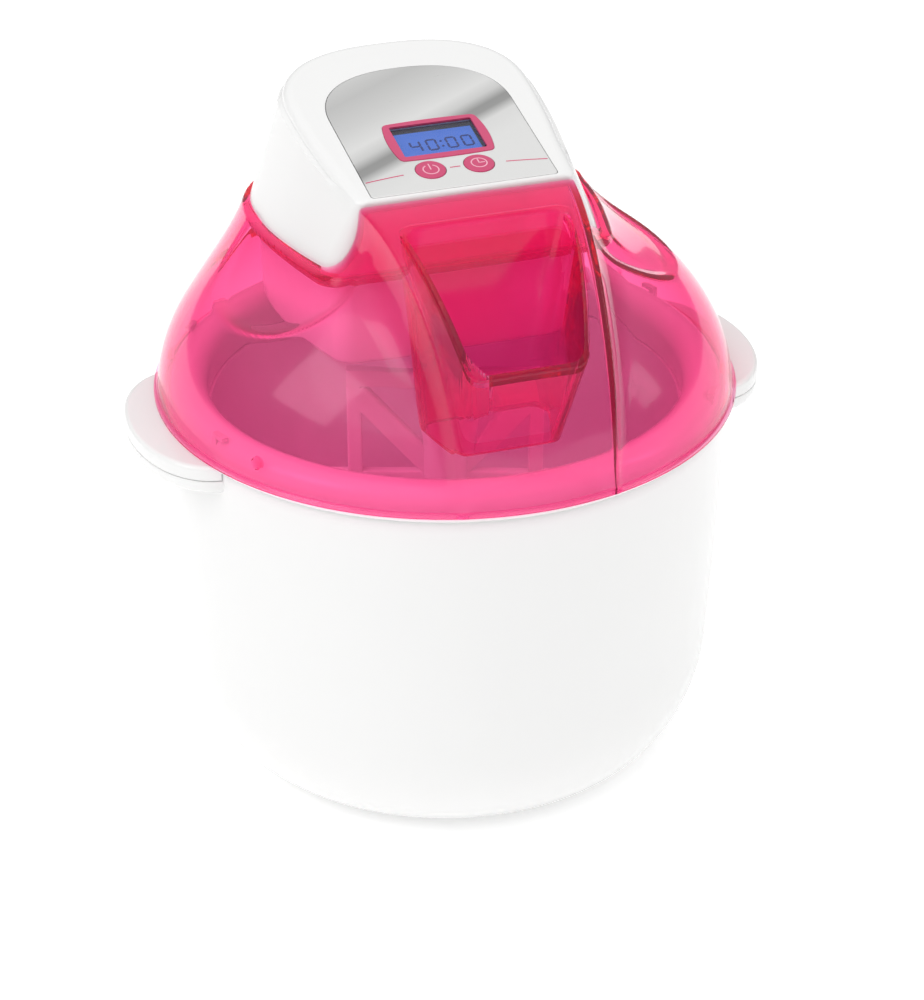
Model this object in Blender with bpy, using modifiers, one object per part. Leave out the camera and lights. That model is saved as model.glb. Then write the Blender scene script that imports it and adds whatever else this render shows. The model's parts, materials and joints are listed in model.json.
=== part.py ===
"""Ice cream maker: a pot with a lift-out freezer bowl, a domed lid with a filling chute, and a
motor head that turns a paddle. Metres, +Z up, the front faces -Y, the origin is under the middle
of the base. Run with: blender --background --python part.py
"""

import math

import bmesh
import bpy
from mathutils import Matrix, Vector

MM = 0.001
MERGE = 0.00001
STEPS = 36
GAP = 0.3

# Heights above the floor, in millimetres
RIM_Z = 160.0
FLOOR_Z = 2.0

# Pot
POT_RADIUS = 113.0
POT_TAPER = 5.0
POT_TAPER_DEPTH = 110.0
POT_CORNER = 30.1
POT_WALL = 2.6

# Handle tabs
TAB_REACH = 130.0
TAB_HALF_DEPTH = 44.0
TAB_SEAM_Z = RIM_Z - 6.3
TAB_LOW_Z = RIM_Z - 12.8

# Freezer bowl
BOWL_MOUTH_RADIUS = 95.0
CROWN_RADIUS = 7.7
LINER_WALL = 1.2
LINER_FLOOR_Z = 30.0

# Twist lock: hooks on the bowl and pins on the lid, in degrees about Z
HOOK_ANGLES = (-162, -36, 18, 144)
PIN_LAG = 14

# Lid
LID_RADIUS = 116.5
DOME_RADIUS = 114.9
DOME_HEIGHT = 81.6
DOME_POWER = 2 / 1.88
LID_WALL = 2.5

# Chute block on the lid: a quarter ellipse seen from the side
WEDGE_BACK_Y = -28.0
WEDGE_DEPTH = 85.0
WEDGE_HEIGHT = 92.0
WEDGE_HALF_WIDTH = 43.5
WEDGE_NARROWING = 12.3
CHUTE_WALL = 2.2

# Motor head
HEAD_FRONT_Y = -27.5
HEAD_SEAT_Z = RIM_Z + 64.3
HEAD_WALL = 3.0
PANEL_Z = RIM_Z + 99.0
PANEL_SLOPE = 0.184
PANEL_TILT = math.atan(PANEL_SLOPE)
BUTTON_X = 9.8
BUTTON_S = -12.7
BUTTON_RADIUS = 6.2

# Drive train
OUTPUT_TEETH, STAGE_TEETH, PINION_TEETH = 30, 36, 10
LOW_MODULE, HIGH_MODULE = 1.25, 1.0
STAGE_Y = LOW_MODULE * (OUTPUT_TEETH + PINION_TEETH) / 2
MOTOR_Y = STAGE_Y + HIGH_MODULE * (STAGE_TEETH + PINION_TEETH) / 2
LOW_GEAR_Z = 189.0
HIGH_GEAR_Z = 199.0
PLATE_Z = 208.0
PLATE_THICKNESS = 2.5

# Paddle
PADDLE_TURN = math.radians(-19.0)
PADDLE_THICKNESS = 5.0

PALETTE = {
    "white_shell": ((0.90, 0.90, 0.89), 0.28, 0.0),
    "white_liner": ((0.86, 0.86, 0.85), 0.40, 0.0),
    "lid_magenta": ((0.86, 0.06, 0.24), 0.10, 0.0),
    "accent_pink": ((0.78, 0.08, 0.22), 0.30, 0.0),
    "fascia_metal": ((0.78, 0.78, 0.77), 0.22, 1.0),
    "liner_metal": ((0.62, 0.62, 0.63), 0.35, 1.0),
    "steel": ((0.55, 0.55, 0.56), 0.30, 1.0),
    "gear_plastic": ((0.82, 0.80, 0.74), 0.45, 0.0),
    "rubber_grey": ((0.30, 0.30, 0.31), 0.80, 0.0),
    "coolant": ((0.45, 0.62, 0.78), 0.50, 0.0),
    "display_blue": ((0.10, 0.18, 0.60), 0.20, 0.0),
    "clear_lens": ((0.90, 0.92, 0.95), 0.05, 0.0),
    "board_green": ((0.05, 0.25, 0.10), 0.50, 0.0),
    "magnet": ((0.12, 0.12, 0.13), 0.50, 0.4),
}


def clear_scene():
    for old in list(bpy.data.objects):
        bpy.data.objects.remove(old, do_unlink=True)


def make_collection(name):
    made = bpy.data.collections.new(name)
    bpy.context.scene.collection.children.link(made)
    return made


clear_scene()
PARTS = make_collection("ice_cream_maker")
CUTTERS = make_collection("cutters")


def make_material(name):
    colour, roughness, metallic = PALETTE[name]
    material = bpy.data.materials.new(name)
    material.use_nodes = True
    shader = material.node_tree.nodes["Principled BSDF"]
    shader.inputs["Base Color"].default_value = (*colour, 1.0)
    shader.inputs["Roughness"].default_value = roughness
    shader.inputs["Metallic"].default_value = metallic
    return material


MATERIALS = {name: make_material(name) for name in PALETTE}


# ---- helpers: every length that goes in is in millimetres -------------------------------------


def place(name, bm, material, origin=(0, 0, 0)):
    """Put a bmesh in the parts collection, or among the cutters when it has no material."""
    bmesh.ops.translate(bm, verts=bm.verts, vec=-Vector(origin))
    bmesh.ops.scale(bm, verts=bm.verts, vec=(MM, MM, MM))
    mesh = bpy.data.meshes.new(name)
    bm.to_mesh(mesh)
    bm.free()
    piece = bpy.data.objects.new(name, mesh)
    piece.location = Vector(origin) * MM
    if material is None:
        CUTTERS.objects.link(piece)
        piece.hide_render = True
        piece.display_type = "WIRE"
        return piece
    PARTS.objects.link(piece)
    mesh.materials.append(MATERIALS[material])
    mesh.shade_smooth()
    mesh.set_sharp_from_angle(angle=math.radians(35))
    return piece


def turned(name, profile, material, origin=(0, 0, 0), steps=STEPS, closed=False):
    """Turn a profile of (radius, height) points about Z; it runs down the outer side."""
    bm = bmesh.new()
    points = [bm.verts.new((radius, 0, height)) for radius, height in profile]
    for first, second in zip(points, points[1:]):
        bm.edges.new((first, second))
    if closed:
        bm.edges.new((points[-1], points[0]))
    piece = place(name, bm, material)
    piece.location = Vector(origin) * MM
    screw = piece.modifiers.new("turn", "SCREW")
    screw.axis = "Z"
    screw.steps = steps
    screw.render_steps = steps
    screw.use_merge_vertices = True
    screw.merge_threshold = MERGE
    return piece


def loft(name, rings, material, origin=(0, 0, 0)):
    """Join rings of equal point count, bottom to top, and cap both ends."""
    bm = bmesh.new()
    rows = [[bm.verts.new(point) for point in ring] for ring in rings]
    for lower, upper in zip(rows, rows[1:]):
        for i in range(len(lower)):
            j = (i + 1) % len(lower)
            bm.faces.new((lower[i], lower[j], upper[j], upper[i]))
    bm.faces.new(list(reversed(rows[0])))
    bm.faces.new(rows[-1])
    bmesh.ops.recalc_face_normals(bm, faces=bm.faces)
    return place(name, bm, material, origin)


def prism(name, outline, low, high, material, origin=(0, 0, 0)):
    """A straight-sided solid over an anticlockwise outline."""
    rings = [[(x, y, z) for x, y in outline] for z in (low, high)]
    return loft(name, rings, material, origin)


def cylinder(name, radius, low, high, material, centre=(0, 0), steps=16, origin=None):
    bm = bmesh.new()
    middle = Matrix.Translation((centre[0], centre[1], (low + high) / 2))
    bmesh.ops.create_cone(
        bm, cap_ends=True, segments=steps, radius1=radius, radius2=radius,
        depth=high - low, matrix=middle,
    )
    return place(name, bm, material, origin or (centre[0], centre[1], low))


def block(name, low, high, material):
    bm = bmesh.new()
    size = [b - a for a, b in zip(low, high)]
    middle = [(a + b) / 2 for a, b in zip(low, high)]
    bmesh.ops.create_cube(bm, size=1, matrix=Matrix.Translation(middle) @ Matrix.Diagonal((*size, 1)))
    return place(name, bm, material, middle)


def join(piece, other):
    combine(piece, other, "UNION")


def cut(piece, other):
    combine(piece, other, "DIFFERENCE")


def combine(piece, other, operation):
    boolean = piece.modifiers.new(other.name, "BOOLEAN")
    boolean.operation = operation
    boolean.solver = "EXACT"
    boolean.object = other


def bevelled(piece, width, segments=2, angle=40):
    bevel = piece.modifiers.new("bevel", "BEVEL")
    bevel.width = width * MM
    bevel.segments = segments
    bevel.limit_method = "ANGLE"
    bevel.angle_limit = math.radians(angle)
    return piece


def arc(centre, radius, start, end, count):
    """Points on a circle between two angles in degrees, both ends included."""
    angles = [math.radians(start + (end - start) * i / (count - 1)) for i in range(count)]
    return [(centre[0] + radius * math.cos(a), centre[1] + radius * math.sin(a)) for a in angles]


def rounded_polygon(corners, radius, count=3):
    """An anticlockwise polygon with its corners turned into arcs."""
    outline = []
    for i, corner in enumerate(corners):
        point = Vector(corner)
        before = (Vector(corners[i - 1]) - point).normalized()
        after = (Vector(corners[(i + 1) % len(corners)]) - point).normalized()
        half = before.angle(after) / 2
        reach = radius / math.tan(half)
        centre = point + (before + after).normalized() * (radius / math.sin(half))
        first, last = point + before * reach - centre, point + after * reach - centre
        turn = first.angle_signed(last)
        for k in range(count):
            outline.append(tuple(centre + Matrix.Rotation(-turn * k / (count - 1), 2) @ first))
    return outline


# ---- outlines that several pieces share -------------------------------------------------------


def pot_profile(offset, low, high):
    """Outer side of the pot from the height high down to the flat of the base at low."""
    points = []
    for i in range(6):
        depth = (RIM_Z - high) + (POT_TAPER_DEPTH - (RIM_Z - high)) * i / 5
        points.append((POT_RADIUS - POT_TAPER * (depth / POT_TAPER_DEPTH) ** 1.5 - offset,
                       RIM_Z - depth))
    radius, start = points[-1]
    slope = 1.5 * POT_TAPER / POT_TAPER_DEPTH
    fall = start - low
    for i in range(1, 7):
        a = math.radians(15 * i)
        inset = POT_CORNER * (1 - math.cos(a)) + slope * fall * math.sin(a)
        points.append((radius - inset, start - fall * math.sin(a)))
    return points


def tab_outline(shrink=0.0):
    """Both handle tabs in plan: one long tongue across the pot with rounded ends."""
    reach, half = TAB_REACH - shrink, TAB_HALF_DEPTH - shrink
    outline = []
    for side in (0, 180):
        for i in range(9):
            a = math.radians(side - 90 + 180 * i / 8)
            direction = 1 if side == 0 else -1
            bulge = abs(math.cos(a)) ** 0.85
            outline.append((direction * (reach - 30 + 30 * bulge), half * math.sin(a)))
    return outline


def head_outline(level, inset=0.0):
    """Plan of the motor head: straight front, bulging sides, round back.

    level 0 is where it stands on the lid, level 1 its top edge.
    """
    front = 57 + (44.5 - 57) * level - inset
    side = 66 + (47 - 66) * level - inset
    back = 90 + (82 - 90) * level - inset
    widest = 35 + (45 - 35) * level
    low = HEAD_FRONT_Y + inset
    right = []
    corner = 9 - 5 * level
    for i in range(3):
        a = math.radians(-90 + 35 * i)
        right.append((front - corner + corner * math.cos(a), low + corner + corner * math.sin(a)))
    start = Vector(right[-1])
    for i in range(1, 5):
        t = i / 5
        across = start.x + (side - start.x) * math.sin(t * math.pi / 2)
        right.append((across, start.y + (widest - start.y) * t))
    for i in range(9):
        a = math.radians(90 * i / 8)
        right.append((side * math.cos(a) ** 0.8, widest + (back - widest) * math.sin(a) ** 0.8))
    left = [(-x, y) for x, y in reversed(right[:-1])]
    return right + left


def panel_height(y):
    return PANEL_Z + PANEL_SLOPE * y


def head_ring(level, inset, drop=0.0, floor=HEAD_SEAT_Z):
    """One ring of the head's wall: level 0 at its foot, level 1 drop below the top plane."""
    return [(x, y, floor + (panel_height(y) - drop - floor) * level)
            for x, y in head_outline(level, inset)]


def dome_profile(offset, low_z):
    """The dome from its top on the axis down to its rim."""
    points = [(0, RIM_Z + 0.64 + DOME_HEIGHT - offset)]
    for i in range(1, 13):
        a = math.radians(7.3 * i)
        radius = (DOME_RADIUS - offset) * math.sin(a) ** DOME_POWER
        points.append((radius, RIM_Z + 0.64 + (DOME_HEIGHT - offset) * math.cos(a) ** DOME_POWER))
    points.append((DOME_RADIUS - offset, low_z))
    return points


def wedge_rings(offset, back_y, low_z):
    """Sections of the chute block from the back to the front."""
    rings = []
    for i in range(8):
        a = math.radians(12 * i)
        y = min(back_y, -27 - (WEDGE_DEPTH - offset) * math.sin(a))
        top = RIM_Z + (WEDGE_HEIGHT - offset) * math.cos(a)
        half = WEDGE_HALF_WIDTH - WEDGE_NARROWING * math.sin(a) - offset
        foot = half + 0.09 * (top - low_z)
        rings.append([(foot, y, low_z), (-foot, y, low_z), (-half, y, top), (half, y, top)])
    return rings


def chute_section(z, inset):
    """Plan of the chute at a height: a trapezoid, wider at the back and at the top."""
    rise = z - RIM_Z - 7
    back_half = 25.5 + 0.0915 * rise - inset
    front_half = 18.5 + 0.058 * rise - inset
    front_y = -76 - 0.512 * rise + inset
    back_y = -47.8 - inset
    corners = [(front_half, front_y), (back_half, back_y), (-back_half, back_y), (-front_half, front_y)]
    return [(x, y, z) for x, y in rounded_polygon(corners, 5)]


# ---- pot --------------------------------------------------------------------------------------


def make_pot():
    outer = pot_profile(0, FLOOR_Z, RIM_Z - 3)
    inner = pot_profile(POT_WALL, FLOOR_Z + POT_WALL, RIM_Z - 3.6)
    profile = [(0, FLOOR_Z + POT_WALL)] + list(reversed(inner)) + outer + [(0, FLOOR_Z)]
    pot = turned("outer_housing", profile, "white_shell")
    tabs = prism("pot_tabs", tab_outline(), TAB_LOW_Z, TAB_SEAM_Z - GAP, None)
    hollow = cylinder("pot_hollow", POT_RADIUS - 2, TAB_LOW_Z - 5, RIM_Z, None, steps=STEPS)
    cut(tabs, hollow)
    join(pot, tabs)
    for i in range(4):
        a = math.radians(45 + 90 * i)
        centre = (62 * math.cos(a), 62 * math.sin(a))
        foot = cylinder(f"foot_{i + 1}", 7.5, 0, FLOOR_Z - GAP, "rubber_grey", centre)
        bevelled(foot, 0.4, 1)


# ---- freezer bowl -----------------------------------------------------------------------------


def liner_radius(z):
    """Inner radius of the metal liner, which narrows towards its floor."""
    depth = (RIM_Z - 8 - z) / (RIM_Z - 8 - LINER_FLOOR_Z)
    return 94.0 - 9.0 * depth ** 1.4


def liner_curve(offset, top, count=5):
    """Points down the liner's inner side to its rounded floor, pushed out by offset."""
    corner = 18.0
    start = LINER_FLOOR_Z + corner
    points = []
    for i in range(count):
        z = top + (start - top) * i / (count - 1)
        points.append((liner_radius(z) + offset, z))
    radius = points[-1][0]
    for i in range(1, 4):
        a = math.radians(30 * i)
        inset = (corner + offset) * (1 - math.cos(a))
        points.append((radius - inset, start - (corner + offset) * math.sin(a)))
    return points


def make_bowl():
    crown = (BOWL_MOUTH_RADIUS + CROWN_RADIUS, RIM_Z + 1.0)
    outside = arc(crown, CROWN_RADIUS, 180, 0, 9)
    inside = arc(crown, CROWN_RADIUS - 2.2, 0, 180, 5)
    seat = RIM_Z - 8.0
    profile = [(BOWL_MOUTH_RADIUS, seat)] + outside + [
        (110.6, RIM_Z - 0.4), (113.9, RIM_Z - 0.5), (114.2, RIM_Z - 2.7), (109.7, RIM_Z - 2.7), (109.7, seat),
        (107.5, seat)] + inside + [(BOWL_MOUTH_RADIUS + 2.2, seat)]
    collar = turned("bowl_collar", profile, "white_shell", closed=True)
    tabs = prism("collar_tabs", tab_outline(), TAB_SEAM_Z, RIM_Z - 0.5, None)
    below = cylinder("collar_tab_relief", POT_RADIUS + 0.5, TAB_SEAM_Z - 5, RIM_Z - 2.7, None,
                     steps=STEPS)
    above = cylinder("collar_tab_core", 112.0, TAB_SEAM_Z - 6, RIM_Z + 5, None, steps=STEPS)
    cut(tabs, below)
    cut(tabs, above)
    join(collar, tabs)
    for i, angle in enumerate(HOOK_ANGLES):
        hook = collar_hook(i, math.radians(angle))
        join(collar, hook)

    liner = liner_curve(0, seat - GAP)
    shell = liner_curve(LINER_WALL, seat - GAP)
    floor = LINER_FLOOR_Z
    profile = [(0, floor)] + list(reversed(liner)) + shell + [(0, floor - LINER_WALL)]
    turned("bowl_liner", profile, "liner_metal")

    outer = bowl_wall_curve(0)
    inner = bowl_wall_curve(2.0)
    profile = [(0, 11.0)] + list(reversed(inner)) + outer + [(0, 9.0)]
    wall = turned("bowl_outer_wall", profile, "white_liner")
    cut(wall, cylinder("filler_hole", 6.0, 5, 15, None, steps=12))
    plug = cylinder("coolant_filler_plug", 5.6, 8.2, 10.7, "rubber_grey", steps=12)
    bevelled(plug, 0.4, 1)

    cold_side = liner_curve(LINER_WALL + GAP, seat - 3)
    warm_side = bowl_wall_curve(2.0 + GAP)[1:]
    warm_side[0] = (warm_side[0][0], seat - 3)
    low = 11.0 + GAP
    gel = [(0, floor - LINER_WALL - GAP)] + list(reversed(cold_side)) + warm_side + [(0, low)]
    turned("coolant_gel", gel, "coolant")

    ring = [(96.2, seat - 2.2), (96.2, seat - GAP), (103.5, seat - GAP), (103.5, seat - 2.2)]
    turned("bowl_seal", ring, "rubber_grey", closed=True)


def bowl_wall_curve(offset):
    """Outer side of the freezer bowl's plastic wall, inside the pot."""
    seat = RIM_Z - 8.0 - GAP
    points = [(106.8 - offset, seat), (104.6 - offset, 110), (101.0 - offset, 62)]
    for i in range(1, 5):
        a = math.radians(22.5 * i)
        low = 9.0 + offset
        points.append((100.0 - offset - 30 * (1 - math.cos(a)), 42 - (42 - low) * math.sin(a)))
    return points


def collar_hook(index, angle):
    """A small upright rib with a bent arm, which the lid's pins would turn under."""
    foot, arm, top, width, reach = RIM_Z, RIM_Z + 7.8, RIM_Z + 9.4, 1.2, 6.0
    outline = [(-width, foot), (width, foot), (width, arm), (reach, arm), (reach, top), (-width, top)]
    turn = Matrix.Rotation(angle, 3, "Z")
    rings = [[tuple(turn @ Vector((radius, across, z))) for across, z in outline]
             for radius in (107.2, 109.6)]
    return loft(f"hook_{index}", rings, None)


# ---- lid --------------------------------------------------------------------------------------


def make_lid():
    rim = [(LID_RADIUS, RIM_Z + 0.8), (LID_RADIUS, RIM_Z), (0, RIM_Z)]
    lid = turned("lid_dome", dome_profile(0, RIM_Z + 4) + rim, "lid_magenta")
    neck_rings = []
    for z, spread in ((196, 9), (206, 6), (214, 4), (RIM_Z + 64, 2.5)):
        neck_rings.append([(x, y, z) for x, y in head_outline(0, -spread)])
    join(lid, loft("neck_outer", neck_rings, None))
    join(lid, loft("wedge_outer", wedge_rings(0, WEDGE_BACK_Y, RIM_Z + 3), None))

    hollow = turned("lid_hollow", dome_profile(LID_WALL, RIM_Z - 4) + [(0, RIM_Z - 4)], None)
    join(hollow, loft("wedge_hollow", wedge_rings(LID_WALL, WEDGE_BACK_Y - LID_WALL, RIM_Z - 6), None))
    pocket_wall = [[(x, y, z) for x, y in head_outline(0, -2.5)] for z in (RIM_Z + 61, RIM_Z + 140)]
    cut(hollow, loft("pocket_wall", pocket_wall, None))
    cut(lid, hollow)

    tube = loft("chute_outer", [chute_section(z, -CHUTE_WALL) for z in (RIM_Z + 7, RIM_Z + 100)], None)
    reach = loft("chute_reach", wedge_rings(0.4, WEDGE_BACK_Y, RIM_Z + 3), None)
    combine(tube, reach, "INTERSECT")
    join(lid, tube)
    cut(lid, loft("chute_bore", [chute_section(z, 0) for z in (RIM_Z, RIM_Z + 110)], None))
    cut(lid, prism("head_pocket", head_outline(0, -0.5), RIM_Z + 64, RIM_Z + 150, None))
    cut(lid, prism("head_opening", head_outline(0, 3.0), RIM_Z + 20, RIM_Z + 90, None))
    for i, angle in enumerate(HOOK_ANGLES):
        turn = Matrix.Rotation(math.radians(angle + PIN_LAG), 4, "Z")
        pin = cylinder(f"lid_pin_{i}", 2.0, 109.5, 113.0, None, steps=8, origin=(0, 0, 0))
        pin.matrix_world = Matrix.Translation((0, 0, 0.1677)) @ turn @ Matrix.Rotation(math.pi / 2, 4, "Y")
        join(lid, pin)


# ---- motor head -------------------------------------------------------------------------------


def panel_empty():
    """The tilted control panel's frame: its +Z is the panel's outward normal."""
    frame = bpy.data.objects.new("panel_frame", None)
    PARTS.objects.link(frame)
    frame.location = (0, 0, PANEL_Z * MM)
    frame.rotation_euler = (PANEL_TILT, 0, 0)
    return frame


def fascia_outline(inset=0.0):
    """A tombstone: straight front edge, nearly straight sides and an arched back."""
    half, front, shoulder, back = 37.5 - inset, -24.5 + inset, 28.0, 60.5 - inset
    outline = [(half - 1.5, front), (half, front + 1.5)]
    for i in range(9):
        a = math.radians(90 * i / 8)
        outline.append((half * math.cos(a) ** 0.85, shoulder + (back - shoulder) * math.sin(a) ** 0.85))
    left = [(-x, y) for x, y in reversed(outline[:-1])]
    return outline + left


def window_outline(half, low, high, bow):
    """The display window: straight top and bottom, sides bowed outwards."""
    right = [(half, low), (half + bow * 0.75, low + (high - low) * 0.25),
             (half + bow, (low + high) / 2), (half + bow * 0.75, low + (high - low) * 0.75),
             (half, high)]
    return right + [(-x, y) for x, y in reversed(right)]


def on_panel(piece, frame):
    piece.parent = frame
    return piece


def make_head_shell(frame):
    inner_top = head_ring(0.97, HEAD_WALL, HEAD_WALL - 1)
    wall = [inner_top, head_ring(0.5, HEAD_WALL), head_ring(0, HEAD_WALL - 0.4),
            head_ring(0, 0), head_ring(0.33, 0), head_ring(0.66, 0), head_ring(0.92, 0),
            [(x, y, panel_height(y) - 0.8) for x, y in head_outline(1, 0.3)],
            [(x, y, panel_height(y)) for x, y in head_outline(1, 2.5)]]
    shell = loft("head_shell", wall, "white_shell")
    recess = on_panel(prism("fascia_recess", fascia_outline(-GAP), -1.3, 6, None), frame)
    window = on_panel(prism("window_hole", window_outline(17.6, -3.4, 19.6, 0), -9, 4, None), frame)
    cut(shell, recess)
    cut(shell, window)
    for side in (-1, 1):
        hole = cylinder(f"button_hole_{side}", BUTTON_RADIUS + 0.4, -9, 4, None,
                        (side * BUTTON_X, BUTTON_S), 24)
        cut(shell, on_panel(hole, frame))
    gland_hole = cylinder("gland_hole", 5.6, -20, 20, None, steps=16, origin=(0, 0, 0))
    gland_hole.matrix_world = Matrix.Translation((0, 0.087, 0.238)) @ Matrix.Rotation(math.pi / 2, 4, "X")
    cut(shell, gland_hole)


def make_head_base():
    inset = 4.2
    floor = 2.6
    outer = [(RIM_Z + 23, inset + 3), (RIM_Z + 26, inset + 0.6), (RIM_Z + 40, inset),
             (RIM_Z + 67, inset)]
    inner = [(RIM_Z + 67, inset + 2.2), (RIM_Z + 40, inset + 2.2), (RIM_Z + 23 + floor, inset + 2.8)]
    rings = []
    for z, shrink in reversed(inner):
        rings.insert(0, [(x, y, z) for x, y in head_outline(0, shrink)])
    rings = list(reversed(rings))
    for z, shrink in reversed(outer):
        rings.append([(x, y, z) for x, y in head_outline(0, shrink)])
    rings = list(reversed(rings))
    base = loft("head_base", rings, "white_shell")
    for i, (x, y) in enumerate(PILLARS):
        pillar = cylinder(f"pillar_{i}", 4.0, RIM_Z + 25, PLATE_Z - GAP, None, (x, y), 8)
        cut(pillar, cylinder(f"pillar_bore_{i}", 1.5, RIM_Z + 36, PLATE_Z + 5, None, (x, y), 8))
        join(base, pillar)
    cut(base, cylinder("output_hole", 7.0, RIM_Z + 15, RIM_Z + 40, None))


PILLARS = ((-36, -12), (36, -12), (-38, 52), (38, 52))


def make_panel(frame):
    fascia = on_panel(prism("fascia_plate", fascia_outline(), -1.0, 0.1, "fascia_metal"), frame)
    cut(fascia, on_panel(prism("bezel_hole", window_outline(20.0, -6.0, 22.0, 1.6), -5, 5, None), frame))
    for side in (-1, 1):
        hole = cylinder(f"fascia_hole_{side}", BUTTON_RADIUS + 0.35, -5, 5, None,
                        (side * BUTTON_X, BUTTON_S), 24)
        cut(fascia, on_panel(hole, frame))
    bezel = prism("display_bezel", window_outline(19.7, -5.7, 21.7, 1.6), -1.0, 0.9, "accent_pink")
    on_panel(bezel, frame)
    cut(bezel, on_panel(prism("bezel_window", window_outline(16.9, -2.7, 18.9, 0), -5, 5, None), frame))
    lens = prism("display_lens", window_outline(16.6, -2.4, 18.6, 0), -1.0, 0.2, "clear_lens")
    on_panel(lens, frame)
    on_panel(block("lcd_panel", (-17.0, -2.9, -3.6), (17.0, 19.1, -1.35), "display_blue"), frame)
    on_panel(block("circuit_board", (-26, -20, -12.2), (26, 26, -10.6), "board_green"), frame)
    for side in (-1, 1):
        x = side * BUTTON_X
        switch = block(f"tact_switch_{1 if side < 0 else 2}", (x - 3, BUTTON_S - 3, -10.3),
                       (x + 3, BUTTON_S + 3, -8.0), "magnet")
        on_panel(switch, frame)
    for side, name in ((-1, "power_button"), (1, "timer_button")):
        profile = [(0, 1.0), (5.2, 0.95), (BUTTON_RADIUS, 0.2), (BUTTON_RADIUS, -3.6),
                   (7.6, -3.6), (7.6, -4.6), (2.0, -4.6), (2.0, -6.6), (0, -6.6)]
        button = turned(name, profile, "accent_pink", (side * BUTTON_X, BUTTON_S, 0), 24)
        on_panel(button, frame)


def gear_outline(teeth, module, phase, centre):
    """Straight-flanked teeth, thinned a little so that a pair runs with backlash."""
    pitch = module * teeth / 2
    root, tip = pitch - 1.2 * module, pitch + 0.9 * module
    step = 2 * math.pi / teeth
    outline = []
    for i in range(teeth):
        middle = phase + i * step
        for radius, share in ((root, -0.34), (tip, -0.13), (tip, 0.13), (root, 0.34)):
            a = middle + share * step
            outline.append((centre[0] + radius * math.cos(a), centre[1] + radius * math.sin(a)))
    return outline


def meshing_phase(teeth, other_teeth, other_phase, direction):
    """Phase of a gear that meshes with another one lying behind it in the given direction."""
    offset = direction - other_phase
    return direction + math.pi + offset * other_teeth / teeth + math.pi / teeth


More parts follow.
